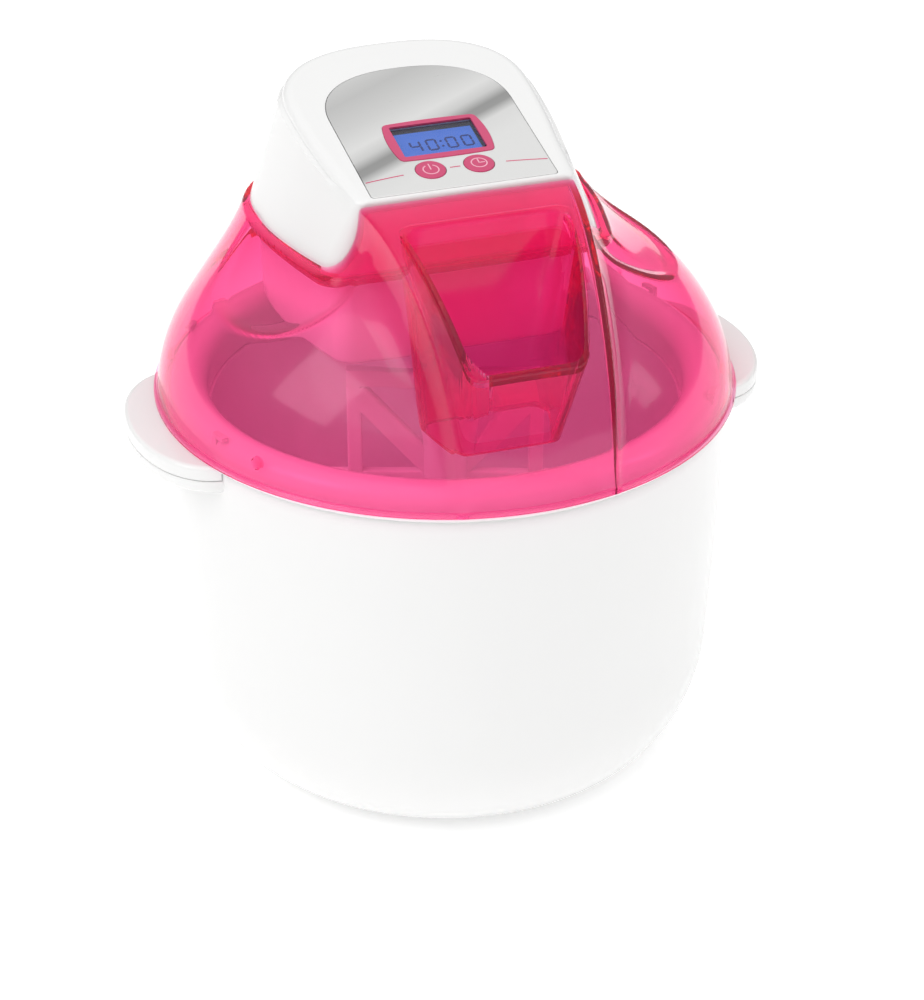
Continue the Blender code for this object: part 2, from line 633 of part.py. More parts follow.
def make_drive():
    low, high = LOW_GEAR_Z, LOW_GEAR_Z + 7
    up = math.pi / 2
    stage = (0, STAGE_Y)
    motor = (0, MOTOR_Y)
    output_phase = 0.0
    pinion_phase = meshing_phase(PINION_TEETH, OUTPUT_TEETH, output_phase, up)
    wheel_phase = 0.0
    motor_phase = meshing_phase(PINION_TEETH, STAGE_TEETH, wheel_phase, up)

    gear = prism("output_gear", gear_outline(OUTPUT_TEETH, LOW_MODULE, output_phase, (0, 0)),
                 low, high, "gear_plastic", (0, 0, low))
    cut(gear, prism("output_gear_bore", hexagon(5.3), low - 3, high + 3, None))
    shaft = cylinder("output_shaft", 3.8, high + 3, PLATE_Z + 6, "steel")
    join(shaft, prism("shaft_hex", hexagon(5.0), low - GAP, high + 3.5, None))
    join(shaft, cylinder("shaft_tail", 3.6, RIM_Z + 19, low + 1, None))
    turned("output_bush", [(4.0, RIM_Z + 28.4), (9.0, RIM_Z + 28.4), (9.0, RIM_Z + 26.0),
                           (6.6, RIM_Z + 26.0), (6.6, RIM_Z + 21.6), (4.0, RIM_Z + 21.6)],
           "gear_plastic", steps=16, closed=True)
    coupler = prism("drive_coupler", hexagon(6.0), RIM_Z - 8, RIM_Z + 21.2, "gear_plastic")
    cut(coupler, cylinder("coupler_bore", 4.0, RIM_Z + 12, RIM_Z + 30, None))
    turned("plate_bush", [(4.1, PLATE_Z + 4.5), (6.5, PLATE_Z + 4.5), (6.5, PLATE_Z - 1.0),
                          (4.1, PLATE_Z - 1.0)], "gear_plastic", steps=16, closed=True)

    wheel = prism("stage_gear", gear_outline(STAGE_TEETH, HIGH_MODULE, wheel_phase, stage),
                  HIGH_GEAR_Z, HIGH_GEAR_Z + 5, "gear_plastic", (*stage, HIGH_GEAR_Z))
    pinion = gear_outline(PINION_TEETH, LOW_MODULE, pinion_phase, stage)
    join(wheel, prism("stage_pinion", pinion, low, HIGH_GEAR_Z + 1, None))
    cut(wheel, cylinder("stage_bore", 1.8, low - 5, HIGH_GEAR_Z + 10, None, stage, 12))
    cylinder("stage_axle", 1.5, RIM_Z + 25.6 + GAP, PLATE_Z + 2, "steel", stage, 12)

    small = gear_outline(PINION_TEETH, HIGH_MODULE, motor_phase, motor)
    motor_pinion = prism("motor_pinion", small, HIGH_GEAR_Z - 0.5, HIGH_GEAR_Z + 5.5, "steel",
                         (*motor, HIGH_GEAR_Z))
    cut(motor_pinion, cylinder("motor_pinion_bore", 1.9, 190, 220, None, motor, 12))
    rotor = cylinder("motor_rotor", 12.0, PLATE_Z + 8, PLATE_Z + 23, "magnet", motor, 20)
    join(rotor, cylinder("rotor_shaft", 1.6, HIGH_GEAR_Z - 1, PLATE_Z + 27.5, None, motor, 12))
    cap_z = PLATE_Z + PLATE_THICKNESS + GAP
    cap = turned("motor_end_cap", [(2.0, cap_z + 3), (20.4, cap_z + 3), (20.4, cap_z), (2.0, cap_z)],
                 "gear_plastic", (*motor, 0), 24, closed=True)
    cap.data.materials[0] = MATERIALS["white_liner"]
    turned("motor_can", [(2.4, cap_z + 23), (20.8, cap_z + 23), (20.8, cap_z), (22, cap_z),
                         (22, cap_z + 24), (2.4, cap_z + 24)][::-1], "steel", (*motor, 0), 24,
           closed=True)

    corners = [(-44, -18), (44, -18), (44, 60), (22, 74), (-22, 74), (-44, 60)]
    plate = prism("gearbox_plate", rounded_polygon(corners, 6), PLATE_Z, PLATE_Z + PLATE_THICKNESS,
                  "steel")
    for name, radius, x, y in (("bush", 6.8, 0, 0), ("axle", 1.8, 0, STAGE_Y), ("shaft", 4.0, 0, MOTOR_Y)):
        cut(plate, cylinder(f"plate_{name}_hole", radius, 200, 215, None, (x, y), 12))
    for i, (x, y) in enumerate(PILLARS):
        cut(plate, cylinder(f"plate_screw_hole_{i}", 2.0, 200, 215, None, (x, y), 8))
        head = PLATE_Z + PLATE_THICKNESS + GAP
        turned(f"plate_screw_{i + 1}", [(0, head + 2), (3.2, head + 1.6), (3.2, head), (1.2, head),
                                        (1.2, PLATE_Z - 7), (0, PLATE_Z - 7)], "steel", (x, y, 0), 8)


def hexagon(radius):
    return [(radius * math.cos(math.radians(60 * i)), radius * math.sin(math.radians(60 * i)))
            for i in range(6)]


def make_gland():
    """Rubber grommet in the head's back wall, where the mains lead would come out."""
    profile = [(3.4, 8.5), (6.0, 8.0), (8.6, 5.6), (8.6, 4.2), (5.2, 4.2), (5.2, -5.0), (3.4, -5.0)]
    gland = turned("cord_gland", profile, "rubber_grey", steps=16, closed=True)
    gland.matrix_world = Matrix.Translation((0, 0.0862, 0.238)) @ Matrix.Rotation(-math.pi / 2, 4, "X")


# ---- paddle -----------------------------------------------------------------------------------


def beam(name, start, end, half_width, cutter=True):
    """One straight bar of the paddle's frame in the XZ plane."""
    low, high = Vector((start[0], 0, start[1])), Vector((end[0], 0, end[1]))
    along = (high - low).normalized()
    side = Vector((-along.z, 0, along.x)) * half_width
    thick = Vector((0, PADDLE_THICKNESS / 2, 0))
    rings = []
    for y in (thick, -thick):
        rings.append([tuple(p) for p in (low - side + y, low + side + y, high + side + y, high - side + y)])
    return loft(name, rings, None if cutter else "white_liner")


def make_paddle():
    """A hub with a narrow frame above and wide blades that follow the liner below."""
    top, waist, foot = RIM_Z + 4, RIM_Z - 44, LINER_FLOOR_Z + 6
    hub_profile = [(0, foot - 3), (9.0, foot - 3), (9.0, RIM_Z + 9), (0, RIM_Z + 9)][::-1]
    paddle = turned("paddle", hub_profile, "white_shell", steps=16)
    bars = [((-39.5, top - 3.8), (39.5, top - 3.8), 3.8),
            ((-36.6, top), (-36.6, waist), 3.0), ((36.6, top), (36.6, waist), 3.0),
            ((-36, top - 10), (-4, waist + 2), 4.5), ((36, top - 10), (4, waist + 2), 4.5),
            ((-78, waist - 2), (78, waist - 2), 4.0),
            ((-77, waist - 2), (-71, foot + 14), 5.0), ((77, waist - 2), (71, foot + 14), 5.0),
            ((-74, foot + 16), (-58, foot), 4.5), ((74, foot + 16), (58, foot), 4.5),
            ((-60, foot + 1), (60, foot + 1), 4.5)]
    for i, (start, end, half) in enumerate(bars):
        join(paddle, beam(f"paddle_bar_{i}", start, end, half))
    cut(paddle, prism("paddle_socket", hexagon(6.6), RIM_Z - 10, RIM_Z + 20, None))
    paddle.rotation_euler = (0, 0, PADDLE_TURN)
    for child in CUTTERS.objects:
        if child.name.startswith("paddle_bar"):
            child.rotation_euler = (0, 0, PADDLE_TURN)


def build():
    make_pot()
    make_bowl()
    make_lid()
    frame = panel_empty()
    make_head_shell(frame)
    make_head_base()
    make_panel(frame)
    make_drive()
    make_gland()
    make_paddle()


build()
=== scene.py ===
"""Looks of the ice cream maker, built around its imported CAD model. Lengths are in millimetres until
a mesh is made; heights in the lid's functions are counted from the lid's rim."""

import json
import math

import bmesh
import bpy
import numpy as np
from mathutils import Matrix, Vector


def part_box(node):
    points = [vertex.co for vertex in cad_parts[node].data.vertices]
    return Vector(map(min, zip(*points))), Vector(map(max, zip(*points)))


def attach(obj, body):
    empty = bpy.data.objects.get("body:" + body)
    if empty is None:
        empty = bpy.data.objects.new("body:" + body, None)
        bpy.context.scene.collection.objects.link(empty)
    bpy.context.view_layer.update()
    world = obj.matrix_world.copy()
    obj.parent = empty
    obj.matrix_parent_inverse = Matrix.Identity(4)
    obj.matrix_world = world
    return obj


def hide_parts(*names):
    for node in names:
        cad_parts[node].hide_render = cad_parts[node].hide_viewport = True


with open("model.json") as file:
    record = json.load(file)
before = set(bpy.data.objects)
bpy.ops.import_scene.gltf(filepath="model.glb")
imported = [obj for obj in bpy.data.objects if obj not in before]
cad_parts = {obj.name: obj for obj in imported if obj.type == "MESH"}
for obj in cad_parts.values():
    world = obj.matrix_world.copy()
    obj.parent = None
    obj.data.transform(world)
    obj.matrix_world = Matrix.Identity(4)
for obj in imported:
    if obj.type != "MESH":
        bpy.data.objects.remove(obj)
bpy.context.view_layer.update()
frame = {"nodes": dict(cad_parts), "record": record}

MM = 0.001


def box_mm(node):
    """Lowest and highest corners of a CAD node at rest, in millimetres."""
    return [np.array(corner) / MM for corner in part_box(node)]


# ---- sizes read from the frame ----------------------------------------------------------------

LID_LOW, LID_HIGH = box_mm("lid_dome")
HEAD_LOW, HEAD_HIGH = box_mm("head_shell")
LINER_LOW, LINER_HIGH = box_mm("bowl_liner")
POT_HIGH = box_mm("outer_housing")[1]
COLLAR_SEAT = box_mm("bowl_collar")[0][2]

RIM_Z = LID_LOW[2]
LID_RADIUS = LID_HIGH[1]
POT_RADIUS = POT_HIGH[1]
TAB_REACH = POT_HIGH[0]
HEAD_SEAT = HEAD_LOW[2]
HEAD_SIDE = HEAD_HIGH[0]
HEAD_BACK = HEAD_HIGH[1]
HEAD_FRONT = HEAD_LOW[1]

# ---- shape constants, as in the CAD model -----------------------------------------------------

DOME_RADIUS = LID_RADIUS - 1.6
DOME_HEIGHT = 81.6
DOME_POWER = 1.88
LID_WALL = 2.5
WEDGE_START_Y = -27.0
WEDGE_DEPTH = 85.0
WEDGE_HEIGHT = LID_HIGH[2] - RIM_Z
WEDGE_HALF = 43.5
WEDGE_NARROWING = 12.3
POCKET_Z = 64.0
POT_TAPER, POT_TAPER_DEPTH, POT_CORNER, POT_WALL = 5.0, 110.0, 30.1, 2.6
PANEL_SLOPE = 0.184
PANEL_TILT = math.atan(PANEL_SLOPE)
PANEL_Z = RIM_Z + 99.0
PANEL_NORMAL = Vector((0, -math.sin(PANEL_TILT), math.cos(PANEL_TILT)))
BUTTON_X, BUTTON_S, BUTTON_RADIUS = 9.8, -12.9, 6.0
FASCIA_FRONT = -26.2
HOOK_ANGLES = (-162, -36, 18, 144)
PIN_LAG = 14
PIN_Z = RIM_Z + 7.7
CHUTE_LOW, CHUTE_HIGH = (-31, -79, RIM_Z + 5), (31, -45, RIM_Z + 82)
FRONT_CRISPNESS = 0.62
CROWN_RADIUS = 7.7
MOUTH_RADIUS = 95.0
CHUTE_WALL = 2.4
SOCKET_RADIUS = 6.6
OUTLINE_POINTS = 96
RECESS_FLOOR = -1.3        # depths below the panel, along its normal
SHEET_UNDERSIDE = -3.2
SCREEN_TOP = -1.58
BELOW_BOARD = -26
LINER_FLOOR = LINER_LOW[2] + 1.2
PADDLE_TURN = math.radians(-19.0)


# ---- materials --------------------------------------------------------------------------------


def node(tree, kind, **values):
    made = tree.nodes.new(kind)
    for key, value in values.items():
        setattr(made, key, value)
    return made


def noise(tree, scale, detail=3.0, stretch=(1, 1, 1)):
    """Noise in object space, stretched along chosen axes."""
    where = node(tree, "ShaderNodeTexCoord")
    mapping = node(tree, "ShaderNodeMapping")
    mapping.inputs["Scale"].default_value = stretch
    texture = node(tree, "ShaderNodeTexNoise")
    texture.inputs["Scale"].default_value = scale
    texture.inputs["Detail"].default_value = detail
    tree.links.new(where.outputs["Object"], mapping.inputs["Vector"])
    tree.links.new(mapping.outputs["Vector"], texture.inputs["Vector"])
    return texture.outputs["Fac"]


def spread(tree, source, low, high):
    """Map noise onto a range, softly enough that no value is cut off."""
    ranged = node(tree, "ShaderNodeMapRange", interpolation_type="SMOOTHSTEP")
    ranged.inputs["From Min"].default_value = 0.15
    ranged.inputs["From Max"].default_value = 0.85
    ranged.inputs["To Min"].default_value = low
    ranged.inputs["To Max"].default_value = high
    tree.links.new(source, ranged.inputs["Value"])
    return ranged.outputs["Result"]


def blend_colour(tree, factor, first, second):
    """Mix two colours, or a socket and a colour, by a factor."""
    mix = node(tree, "ShaderNodeMix", data_type="RGBA")
    tree.links.new(factor, mix.inputs["Factor"])
    for index, value in ((6, first), (7, second)):
        if isinstance(value, bpy.types.NodeSocket):
            tree.links.new(value, mix.inputs[index])
        else:
            mix.inputs[index].default_value = (*value, 1)
    return mix.outputs[2]


def surface(name, colour, rough, metallic=0.0, grain=400.0, bump=0.05, tone=0.04, rough_spread=0.05,
            stretch=(1, 1, 1), wear=0.0, **sockets):
    """A moulded or metal surface: tone, roughness, fine relief and worn edges, all procedural."""
    material = bpy.data.materials.new(name)
    material.use_nodes = True
    tree = material.node_tree
    shader = tree.nodes["Principled BSDF"]
    shader.inputs["Metallic"].default_value = metallic
    darker = tuple(max(0, c * (1 - tone)) for c in colour)
    shade = blend_colour(tree, spread(tree, noise(tree, 18, 4), 0, 1), colour, darker)
    if wear:
        edge = node(tree, "ShaderNodeNewGeometry")
        ranged = node(tree, "ShaderNodeMapRange")
        ranged.inputs["From Min"].default_value = 0.52
        ranged.inputs["From Max"].default_value = 0.62
        ranged.inputs["To Max"].default_value = wear
        tree.links.new(edge.outputs["Pointiness"], ranged.inputs["Value"])
        lighter = tuple(min(1, c * 1.1 + 0.05) for c in colour)
        shade = blend_colour(tree, ranged.outputs["Result"], shade, lighter)
    tree.links.new(shade, shader.inputs["Base Color"])
    polish = spread(tree, noise(tree, 45, 4, stretch), rough, rough + rough_spread)
    tree.links.new(polish, shader.inputs["Roughness"])
    if bump:
        relief = node(tree, "ShaderNodeBump")
        relief.inputs["Strength"].default_value = bump
        relief.inputs["Distance"].default_value = 0.0002
        tree.links.new(noise(tree, grain, 2, stretch), relief.inputs["Height"])
        tree.links.new(relief.outputs["Normal"], shader.inputs["Normal"])
    for socket, value in sockets.items():
        shader.inputs[socket.replace("_", " ")].default_value = value
    return material


def coordinates(tree, system="Object"):
    """The X, Y and Z sockets of a coordinate system."""
    where = node(tree, "ShaderNodeTexCoord")
    parts = node(tree, "ShaderNodeSeparateXYZ")
    tree.links.new(where.outputs[system], parts.inputs["Vector"])
    return parts.outputs


def grey_ramp(tree, source, stops, blue=1.0):
    """A ramp of greys over (place, value) stops, its blue scaled."""
    ramp = node(tree, "ShaderNodeValToRGB")
    elements = ramp.color_ramp.elements
    elements.remove(elements[0])
    elements[0].position = stops[0][0]
    for i, (place, value) in enumerate(stops):
        stop = elements[0] if i == 0 else elements.new(place)
        stop.color = (value, value, value * blue, 1)
    tree.links.new(source, ramp.inputs["Fac"])
    return ramp.outputs["Color"]


def fascia_material():
    """Bright brushed plate, finely streaked across, with broad slanting bands of painted reflection
    in its colour.
    """
    material = surface("fascia_metal", (0.86, 0.86, 0.85), 0.27, metallic=1.0, grain=300,
                       bump=0.03, tone=0.03, rough_spread=0.06, stretch=(1, 30, 30))
    tree = material.node_tree
    shader = tree.nodes["Principled BSDF"]
    place = coordinates(tree)
    slant = node(tree, "ShaderNodeMath", operation="MULTIPLY_ADD")
    slant.inputs[1].default_value = -0.55
    tree.links.new(place["X"], slant.inputs[0])
    tree.links.new(place["Y"], slant.inputs[2])
    ranged = node(tree, "ShaderNodeMapRange")
    ranged.inputs["From Min"].default_value = -0.045
    ranged.inputs["From Max"].default_value = 0.075
    tree.links.new(slant.outputs[0], ranged.inputs["Value"])
    # Painted reflection: light and dark bands across the plate's diagonal, as the mirror-bright metal
    # would reflect the studio.
    stops = [(0.0, 0.97), (0.30, 0.96), (0.40, 0.90), (0.45, 0.42), (0.48, 0.40), (0.53, 0.78),
             (0.59, 0.94), (0.70, 0.80), (0.84, 0.68), (1.0, 0.85)]
    painted_reflection_bands = grey_ramp(tree, ranged.outputs["Result"], stops, 0.99)
    tree.links.new(painted_reflection_bands, shader.inputs["Base Color"])
    return material


def inside_box(tree, low, high):
    """1 inside a box in object space, 0 outside."""
    place = coordinates(tree)
    inside = None
    for axis in range(3):
        test = node(tree, "ShaderNodeMath", operation="COMPARE")
        test.inputs[1].default_value = (low[axis] + high[axis]) / 2 * MM
        test.inputs[2].default_value = (high[axis] - low[axis]) / 2 * MM
        tree.links.new(place[axis], test.inputs[0])
        if inside is None:
            inside = test.outputs[0]
            continue
        both = node(tree, "ShaderNodeMath", operation="MULTIPLY")
        tree.links.new(inside, both.inputs[0])
        tree.links.new(test.outputs[0], both.inputs[1])
        inside = both.outputs[0]
    return inside


def lid_material():
    """Clear magenta plastic that lets lamps through with its own tint, with a faint painted pink
    glow, and painted shade that tints it deeper within the chute.
    """
    # Painted glow: a faint pink emission makes the whole lid glow a little, though it is no lamp.
    material = surface("lid_magenta", (0.99, 0.76, 0.85), 0.03, grain=60, bump=0.01, tone=0.02,
                       rough_spread=0.03, Transmission_Weight=1.0, IOR=1.14,
                       Coat_Weight=0.6, Coat_IOR=1.45, Coat_Roughness=0.10,
                       Emission_Color=(1.0, 0.08, 0.36, 1), Emission_Strength=0.06)
    tree = material.node_tree
    shader = tree.nodes["Principled BSDF"]
    tint = shader.inputs["Base Color"].links[0].from_socket
    # Painted shade: inside the chute's box the tint is mixed towards a deeper crimson, standing in
    # for the darker look inside the chute.
    painted_chute_shade = blend_colour(tree, inside_box(tree, CHUTE_LOW, CHUTE_HIGH), tint, (0.86, 0.18, 0.46))
    tree.links.new(painted_chute_shade, shader.inputs["Base Color"])
    output = tree.nodes["Material Output"]
    clear = node(tree, "ShaderNodeBsdfTransparent")
    clear.inputs["Color"].default_value = (1.0, 0.88, 0.93, 1)
    depth = node(tree, "ShaderNodeVolumeAbsorption")
    depth.inputs["Color"].default_value = (0.955, 0.0, 0.50, 1)
    depth.inputs["Density"].default_value = 255.0
    tree.links.new(depth.outputs["Volume"], output.inputs["Volume"])
    path = node(tree, "ShaderNodeLightPath")
    mix = node(tree, "ShaderNodeMixShader")
    tree.links.new(path.outputs["Is Shadow Ray"], mix.inputs[0])
    tree.links.new(shader.outputs["BSDF"], mix.inputs[1])
    tree.links.new(clear.outputs["BSDF"], mix.inputs[2])
    tree.links.new(mix.outputs["Shader"], output.inputs["Surface"])
    return material


MATERIALS = {
    "white_shell": surface("white_shell", (0.87, 0.87, 0.865), 0.24, grain=900, bump=0.006,
                           tone=0.004, rough_spread=0.02, Coat_Weight=0.25, Coat_Roughness=0.12),
    "white_liner": surface("white_liner", (0.86, 0.86, 0.85), 0.42, grain=700, bump=0.06,
                           tone=0.01),
    "white_paddle": surface("white_paddle", (0.92, 0.92, 0.91), 0.35, grain=700, bump=0.05,
                            tone=0.01),
    "lid_magenta": lid_material(),
    "accent_pink": surface("accent_pink", (0.62, 0.06, 0.17), 0.30, grain=900, bump=0.04, wear=0.1),
    "symbol_pink": surface("symbol_pink", (0.90, 0.45, 0.56), 0.35, grain=900, bump=0.02),
    "line_pink": surface("line_pink", (0.66, 0.05, 0.16), 0.35, grain=900, bump=0.02),
    "fascia_metal": fascia_material(),
    "liner_metal": surface("liner_metal", (0.97, 0.97, 0.98), 0.34, metallic=0.5, grain=260,
                           bump=0.06, tone=0.03, rough_spread=0.08, stretch=(1, 1, 12)),
    "steel": surface("steel", (0.58, 0.58, 0.59), 0.28, metallic=1.0, grain=500, bump=0.08,
                     tone=0.08, rough_spread=0.1, stretch=(1, 1, 8), wear=0.3),
    "gear_plastic": surface("gear_plastic", (0.82, 0.80, 0.72), 0.42, grain=600, bump=0.08),
    "rubber_grey": surface("rubber_grey", (0.22, 0.22, 0.23), 0.72, grain=1200, bump=0.3,
                           tone=0.15),
    "coolant": surface("coolant", (0.45, 0.62, 0.78), 0.5, grain=120, bump=0.1),
    "display_blue": surface("display_blue", (0.05, 0.14, 0.55), 0.30, grain=1500, bump=0.02,
                            Emission_Color=(0.04, 0.14, 0.50, 1), Emission_Strength=0.35),
    # Dark colour used only for the sheet of painted shadow on the screen.
    "display_dark": surface("display_dark", (0.035, 0.04, 0.06), 0.35, grain=900, bump=0.02),
    "digit_navy": surface("digit_navy", (0.025, 0.04, 0.20), 0.40, grain=900, bump=0.02),
    "clear_lens": surface("clear_lens", (0.95, 0.97, 1.0), 0.02, grain=60, bump=0.01, tone=0.01,
                          rough_spread=0.02, Transmission_Weight=1.0, IOR=1.2),
    "board_green": surface("board_green", (0.04, 0.22, 0.09), 0.45, grain=300, bump=0.2),
    "magnet": surface("magnet", (0.10, 0.10, 0.11), 0.5, metallic=0.2, grain=600, bump=0.2,
                      tone=0.1),
}


# ---- mesh helpers -----------------------------------------------------------------------------


def smooth_shade(piece, sharp):
    """Smooth shading, except across edges sharper than an angle in degrees."""
    piece.data.shade_smooth()
    piece.data.set_sharp_from_angle(angle=math.radians(sharp))
    return piece


def to_object(name, bm, sharp=32):
    bmesh.ops.scale(bm, verts=bm.verts, vec=(MM, MM, MM))
    mesh = bpy.data.meshes.new(name)
    bm.to_mesh(mesh)
    bm.free()
    piece = bpy.data.objects.new(name, mesh)
    bpy.context.scene.collection.objects.link(piece)
    return smooth_shade(piece, sharp)


def rows_to_object(name, rows, caps=True, ring=False, sharp=32):
    """Skin a list of closed rings of points; ring joins the last row to the first."""
    count = len(rows[0])
    points = np.concatenate([np.asarray(row, float) for row in rows]) * MM
    turns = len(rows) if ring else len(rows) - 1
    faces = []
    for r in range(turns):
        a, b = r * count, ((r + 1) % len(rows)) * count
        faces += [(a + i, a + (i + 1) % count, b + (i + 1) % count, b + i) for i in range(count)]
    if caps and not ring:
        faces.append(tuple(reversed(range(count))))
        faces.append(tuple(range((len(rows) - 1) * count, len(rows) * count)))
    mesh = bpy.data.meshes.new(name)
    mesh.from_pydata(points.tolist(), [], faces)
    clean = bmesh.new()
    clean.from_mesh(mesh)
    bmesh.ops.remove_doubles(clean, verts=clean.verts, dist=0.000002)
    bmesh.ops.recalc_face_normals(clean, faces=clean.faces)
    clean.to_mesh(mesh)
    clean.free()
    piece = bpy.data.objects.new(name, mesh)
    bpy.context.scene.collection.objects.link(piece)
    return smooth_shade(piece, sharp)


def at_height(outline, z):
    """An outline in plan as a ring of points at one height."""
    return np.column_stack([outline, np.full(len(outline), z)])


def lathe(name, profile, steps=180, closed=False, sharp=32):
    """Turn (radius, height) points about Z."""
    rows = []
    angles = np.linspace(0, 2 * math.pi, steps, endpoint=False)
    for radius, height in profile:
        radius = max(radius, 0.001)
        rows.append(np.stack([radius * np.cos(angles), radius * np.sin(angles),
                              np.full(steps, height)], axis=1))
    return rows_to_object(name, rows, ring=closed, sharp=sharp)


def prism(name, outline, low, high, edge=0.0, sharp=32):
    """A plate over an outline, its two rims rounded by edge."""
    outline = np.asarray(outline, float)
    levels = [(low, 0.0), (high, 0.0)]
    if edge:
        levels = [(low, edge), (low + edge * 0.3, edge * 0.3), (low + edge, 0),
                  (high - edge, 0), (high - edge * 0.3, edge * 0.3), (high, edge)]
    rows = [at_height(inset_outline(outline, inset), z) for z, inset in levels]
    return rows_to_object(name, rows, sharp=sharp)


def inset_outline(outline, inset):
    """Move an anticlockwise outline inwards along its own normals."""
    if not inset:
        return outline
    ahead, behind = np.roll(outline, -1, axis=0), np.roll(outline, 1, axis=0)
    along = ahead - behind
    along /= np.maximum(np.linalg.norm(along, axis=1, keepdims=True), 1e-9)
    normal = np.stack([-along[:, 1], along[:, 0]], axis=1)
    return outline + normal * inset


def applied(piece):
    """Replace a piece's mesh by its evaluated one and drop its modifiers."""
    bpy.context.view_layer.update()
    shaped = piece.evaluated_get(bpy.context.evaluated_depsgraph_get())
    mesh = bpy.data.meshes.new_from_object(shaped)
    piece.modifiers.clear()
    piece.data = mesh
    return piece


def combine(piece, other, operation):
    """Join another piece to this one, or cut it away, and remove the other."""
    boolean = piece.modifiers.new("boolean", "BOOLEAN")
    boolean.operation = operation
    boolean.solver = "EXACT"
    boolean.object = other
    applied(piece)
    bpy.data.objects.remove(other, do_unlink=True)
    return piece


def rounded_trapezoid(front_y, front_half, back_y, back_half, radius, count=7):
    """A trapezoid in plan with round corners, anticlockwise."""
    corners = [(front_half, front_y), (back_half, back_y),
               (-back_half, back_y), (-front_half, front_y)]
    outline = []
    for i, corner in enumerate(corners):
        point = Vector(corner)
        before = (Vector(corners[i - 1]) - point).normalized()
        after = (Vector(corners[(i + 1) % 4]) - point).normalized()
        half = before.angle(after) / 2
        reach = radius / math.tan(half)
        centre = point + (before + after).normalized() * (radius / math.sin(half))
        first = point + before * reach - centre
        turn = first.angle_signed(point + after * reach - centre)
        for k in range(count):
            outline.append(tuple(centre + Matrix.Rotation(-turn * k / (count - 1), 2) @ first))
    return resampled(np.array(outline), OUTLINE_POINTS)


def resampled(outline, count):
    """The same closed outline with evenly spaced points."""
    closed = np.vstack([outline, outline[:1]])
    steps = np.linalg.norm(np.diff(closed, axis=0), axis=1)
    along = np.concatenate([[0], np.cumsum(steps)])
    wanted = np.linspace(0, along[-1], count, endpoint=False)
    return np.stack([np.interp(wanted, along, closed[:, k]) for k in range(2)], axis=1)


def finish_piece(piece, body, replaced, slot, material=None):
    """Give a piece the material of its slot, or the one named instead, its body, and flat shading on
    its flat faces.
    """
    piece.data.materials.clear()
    piece.data.materials.append(MATERIALS[material or slot])
    for face in piece.data.polygons:
        if len(face.vertices) > 8 or face.normal.dot(PANEL_NORMAL) > 0.9998:
            face.use_smooth = False
    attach(piece, body)
    if replaced:
        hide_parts(*replaced)
    return piece


# ---- lid --------------------------------------------------------------------------------------


def smooth_min(a, b, k):
    h = np.maximum(k - np.abs(a - b), 0) / k
    return np.minimum(a, b) - h * h * k / 4


def smooth_max(a, b, k):
    return -smooth_min(-a, -b, k)


def head_outline(level, inset=0.0, detail=1):
    """Plan of the motor head, from its foot (level 0) to its top edge (level 1)."""
    front = 57 + (44.5 - 57) * level - inset
    side = HEAD_SIDE + (50.5 - HEAD_SIDE) * level - inset
    back = HEAD_BACK + (82 - HEAD_BACK) * level - inset
    widest = 35 + 7 * level
    low = HEAD_FRONT + inset
    corner = 9 - 5 * level
    right = []
    for i in range(6 * detail + 1):
        a = math.radians(-90 + 70 * i / (6 * detail))
        right.append((front - corner + corner * math.cos(a), low + corner + corner * math.sin(a)))
    start = right[-1]
    for i in range(1, 8 * detail):
        t = i / (8 * detail)
        across = start[0] + (side - start[0]) * math.sin(t * math.pi / 2)
        right.append((across, start[1] + (widest - start[1]) * t))
    for i in range(24 * detail + 1):
        a = math.radians(90 * i / (24 * detail))
        right.append((side * math.cos(a) ** 0.8, widest + (back - widest) * math.sin(a) ** 0.8))
    left = [(-x, y) for x, y in reversed(right[:-1])]
    return np.array(right + left)


def distance_to_outline(x, y, outline):
    """Signed distance in plan, negative inside."""
    closed = np.vstack([outline, outline[:1]])
    best = np.full(x.shape, 1e9)
    inside = np.zeros(x.shape, bool)
    for (x0, y0), (x1, y1) in zip(closed, closed[1:]):
        dx, dy = x1 - x0, y1 - y0
        t = np.clip(((x - x0) * dx + (y - y0) * dy) / max(dx * dx + dy * dy, 1e-12), 0, 1)
        best = np.minimum(best, np.hypot(x - x0 - t * dx, y - y0 - t * dy))
        crosses = (y0 > y) != (y1 > y)
        with np.errstate(divide="ignore", invalid="ignore"):
            at = x0 + (y - y0) * dx / (dy if dy else 1e-12)
        inside ^= crosses & (x < at)
    return np.where(inside, -best, best)


FOOT_PLAN = resampled(head_outline(0), 90)


def dome_distance(x, y, z):
    """Distance from the dome, measured along rays from its centre."""
    up = np.maximum(z - 0.64, 0)
    radius = np.hypot(x, y)
    g = (radius / DOME_RADIUS) ** DOME_POWER + (up / DOME_HEIGHT) ** DOME_POWER
    return np.hypot(radius, up) * (1 - 1 / np.maximum(g, 1e-9) ** (1 / DOME_POWER))


def wedge_distance(x, y, z):
    """Distance from the chute block, whose top edges are rounded by 1.6 mm."""
    ahead = np.maximum(WEDGE_START_Y - y, 0)
    e = np.maximum((ahead / WEDGE_DEPTH) ** 2 + (z / WEDGE_HEIGHT) ** 2, 1e-9)
    top = np.hypot(ahead, z) * (1 - 1 / np.sqrt(e))
    sine = np.clip(ahead / WEDGE_DEPTH, 0, 1)
    crest = WEDGE_HEIGHT * np.sqrt(1 - sine ** 2)
    side = np.abs(x) - (WEDGE_HALF - WEDGE_NARROWING * sine + 0.09 * np.maximum(crest - z, 0))
    return np.maximum(smooth_max(top, side, 1.8), y + 12)


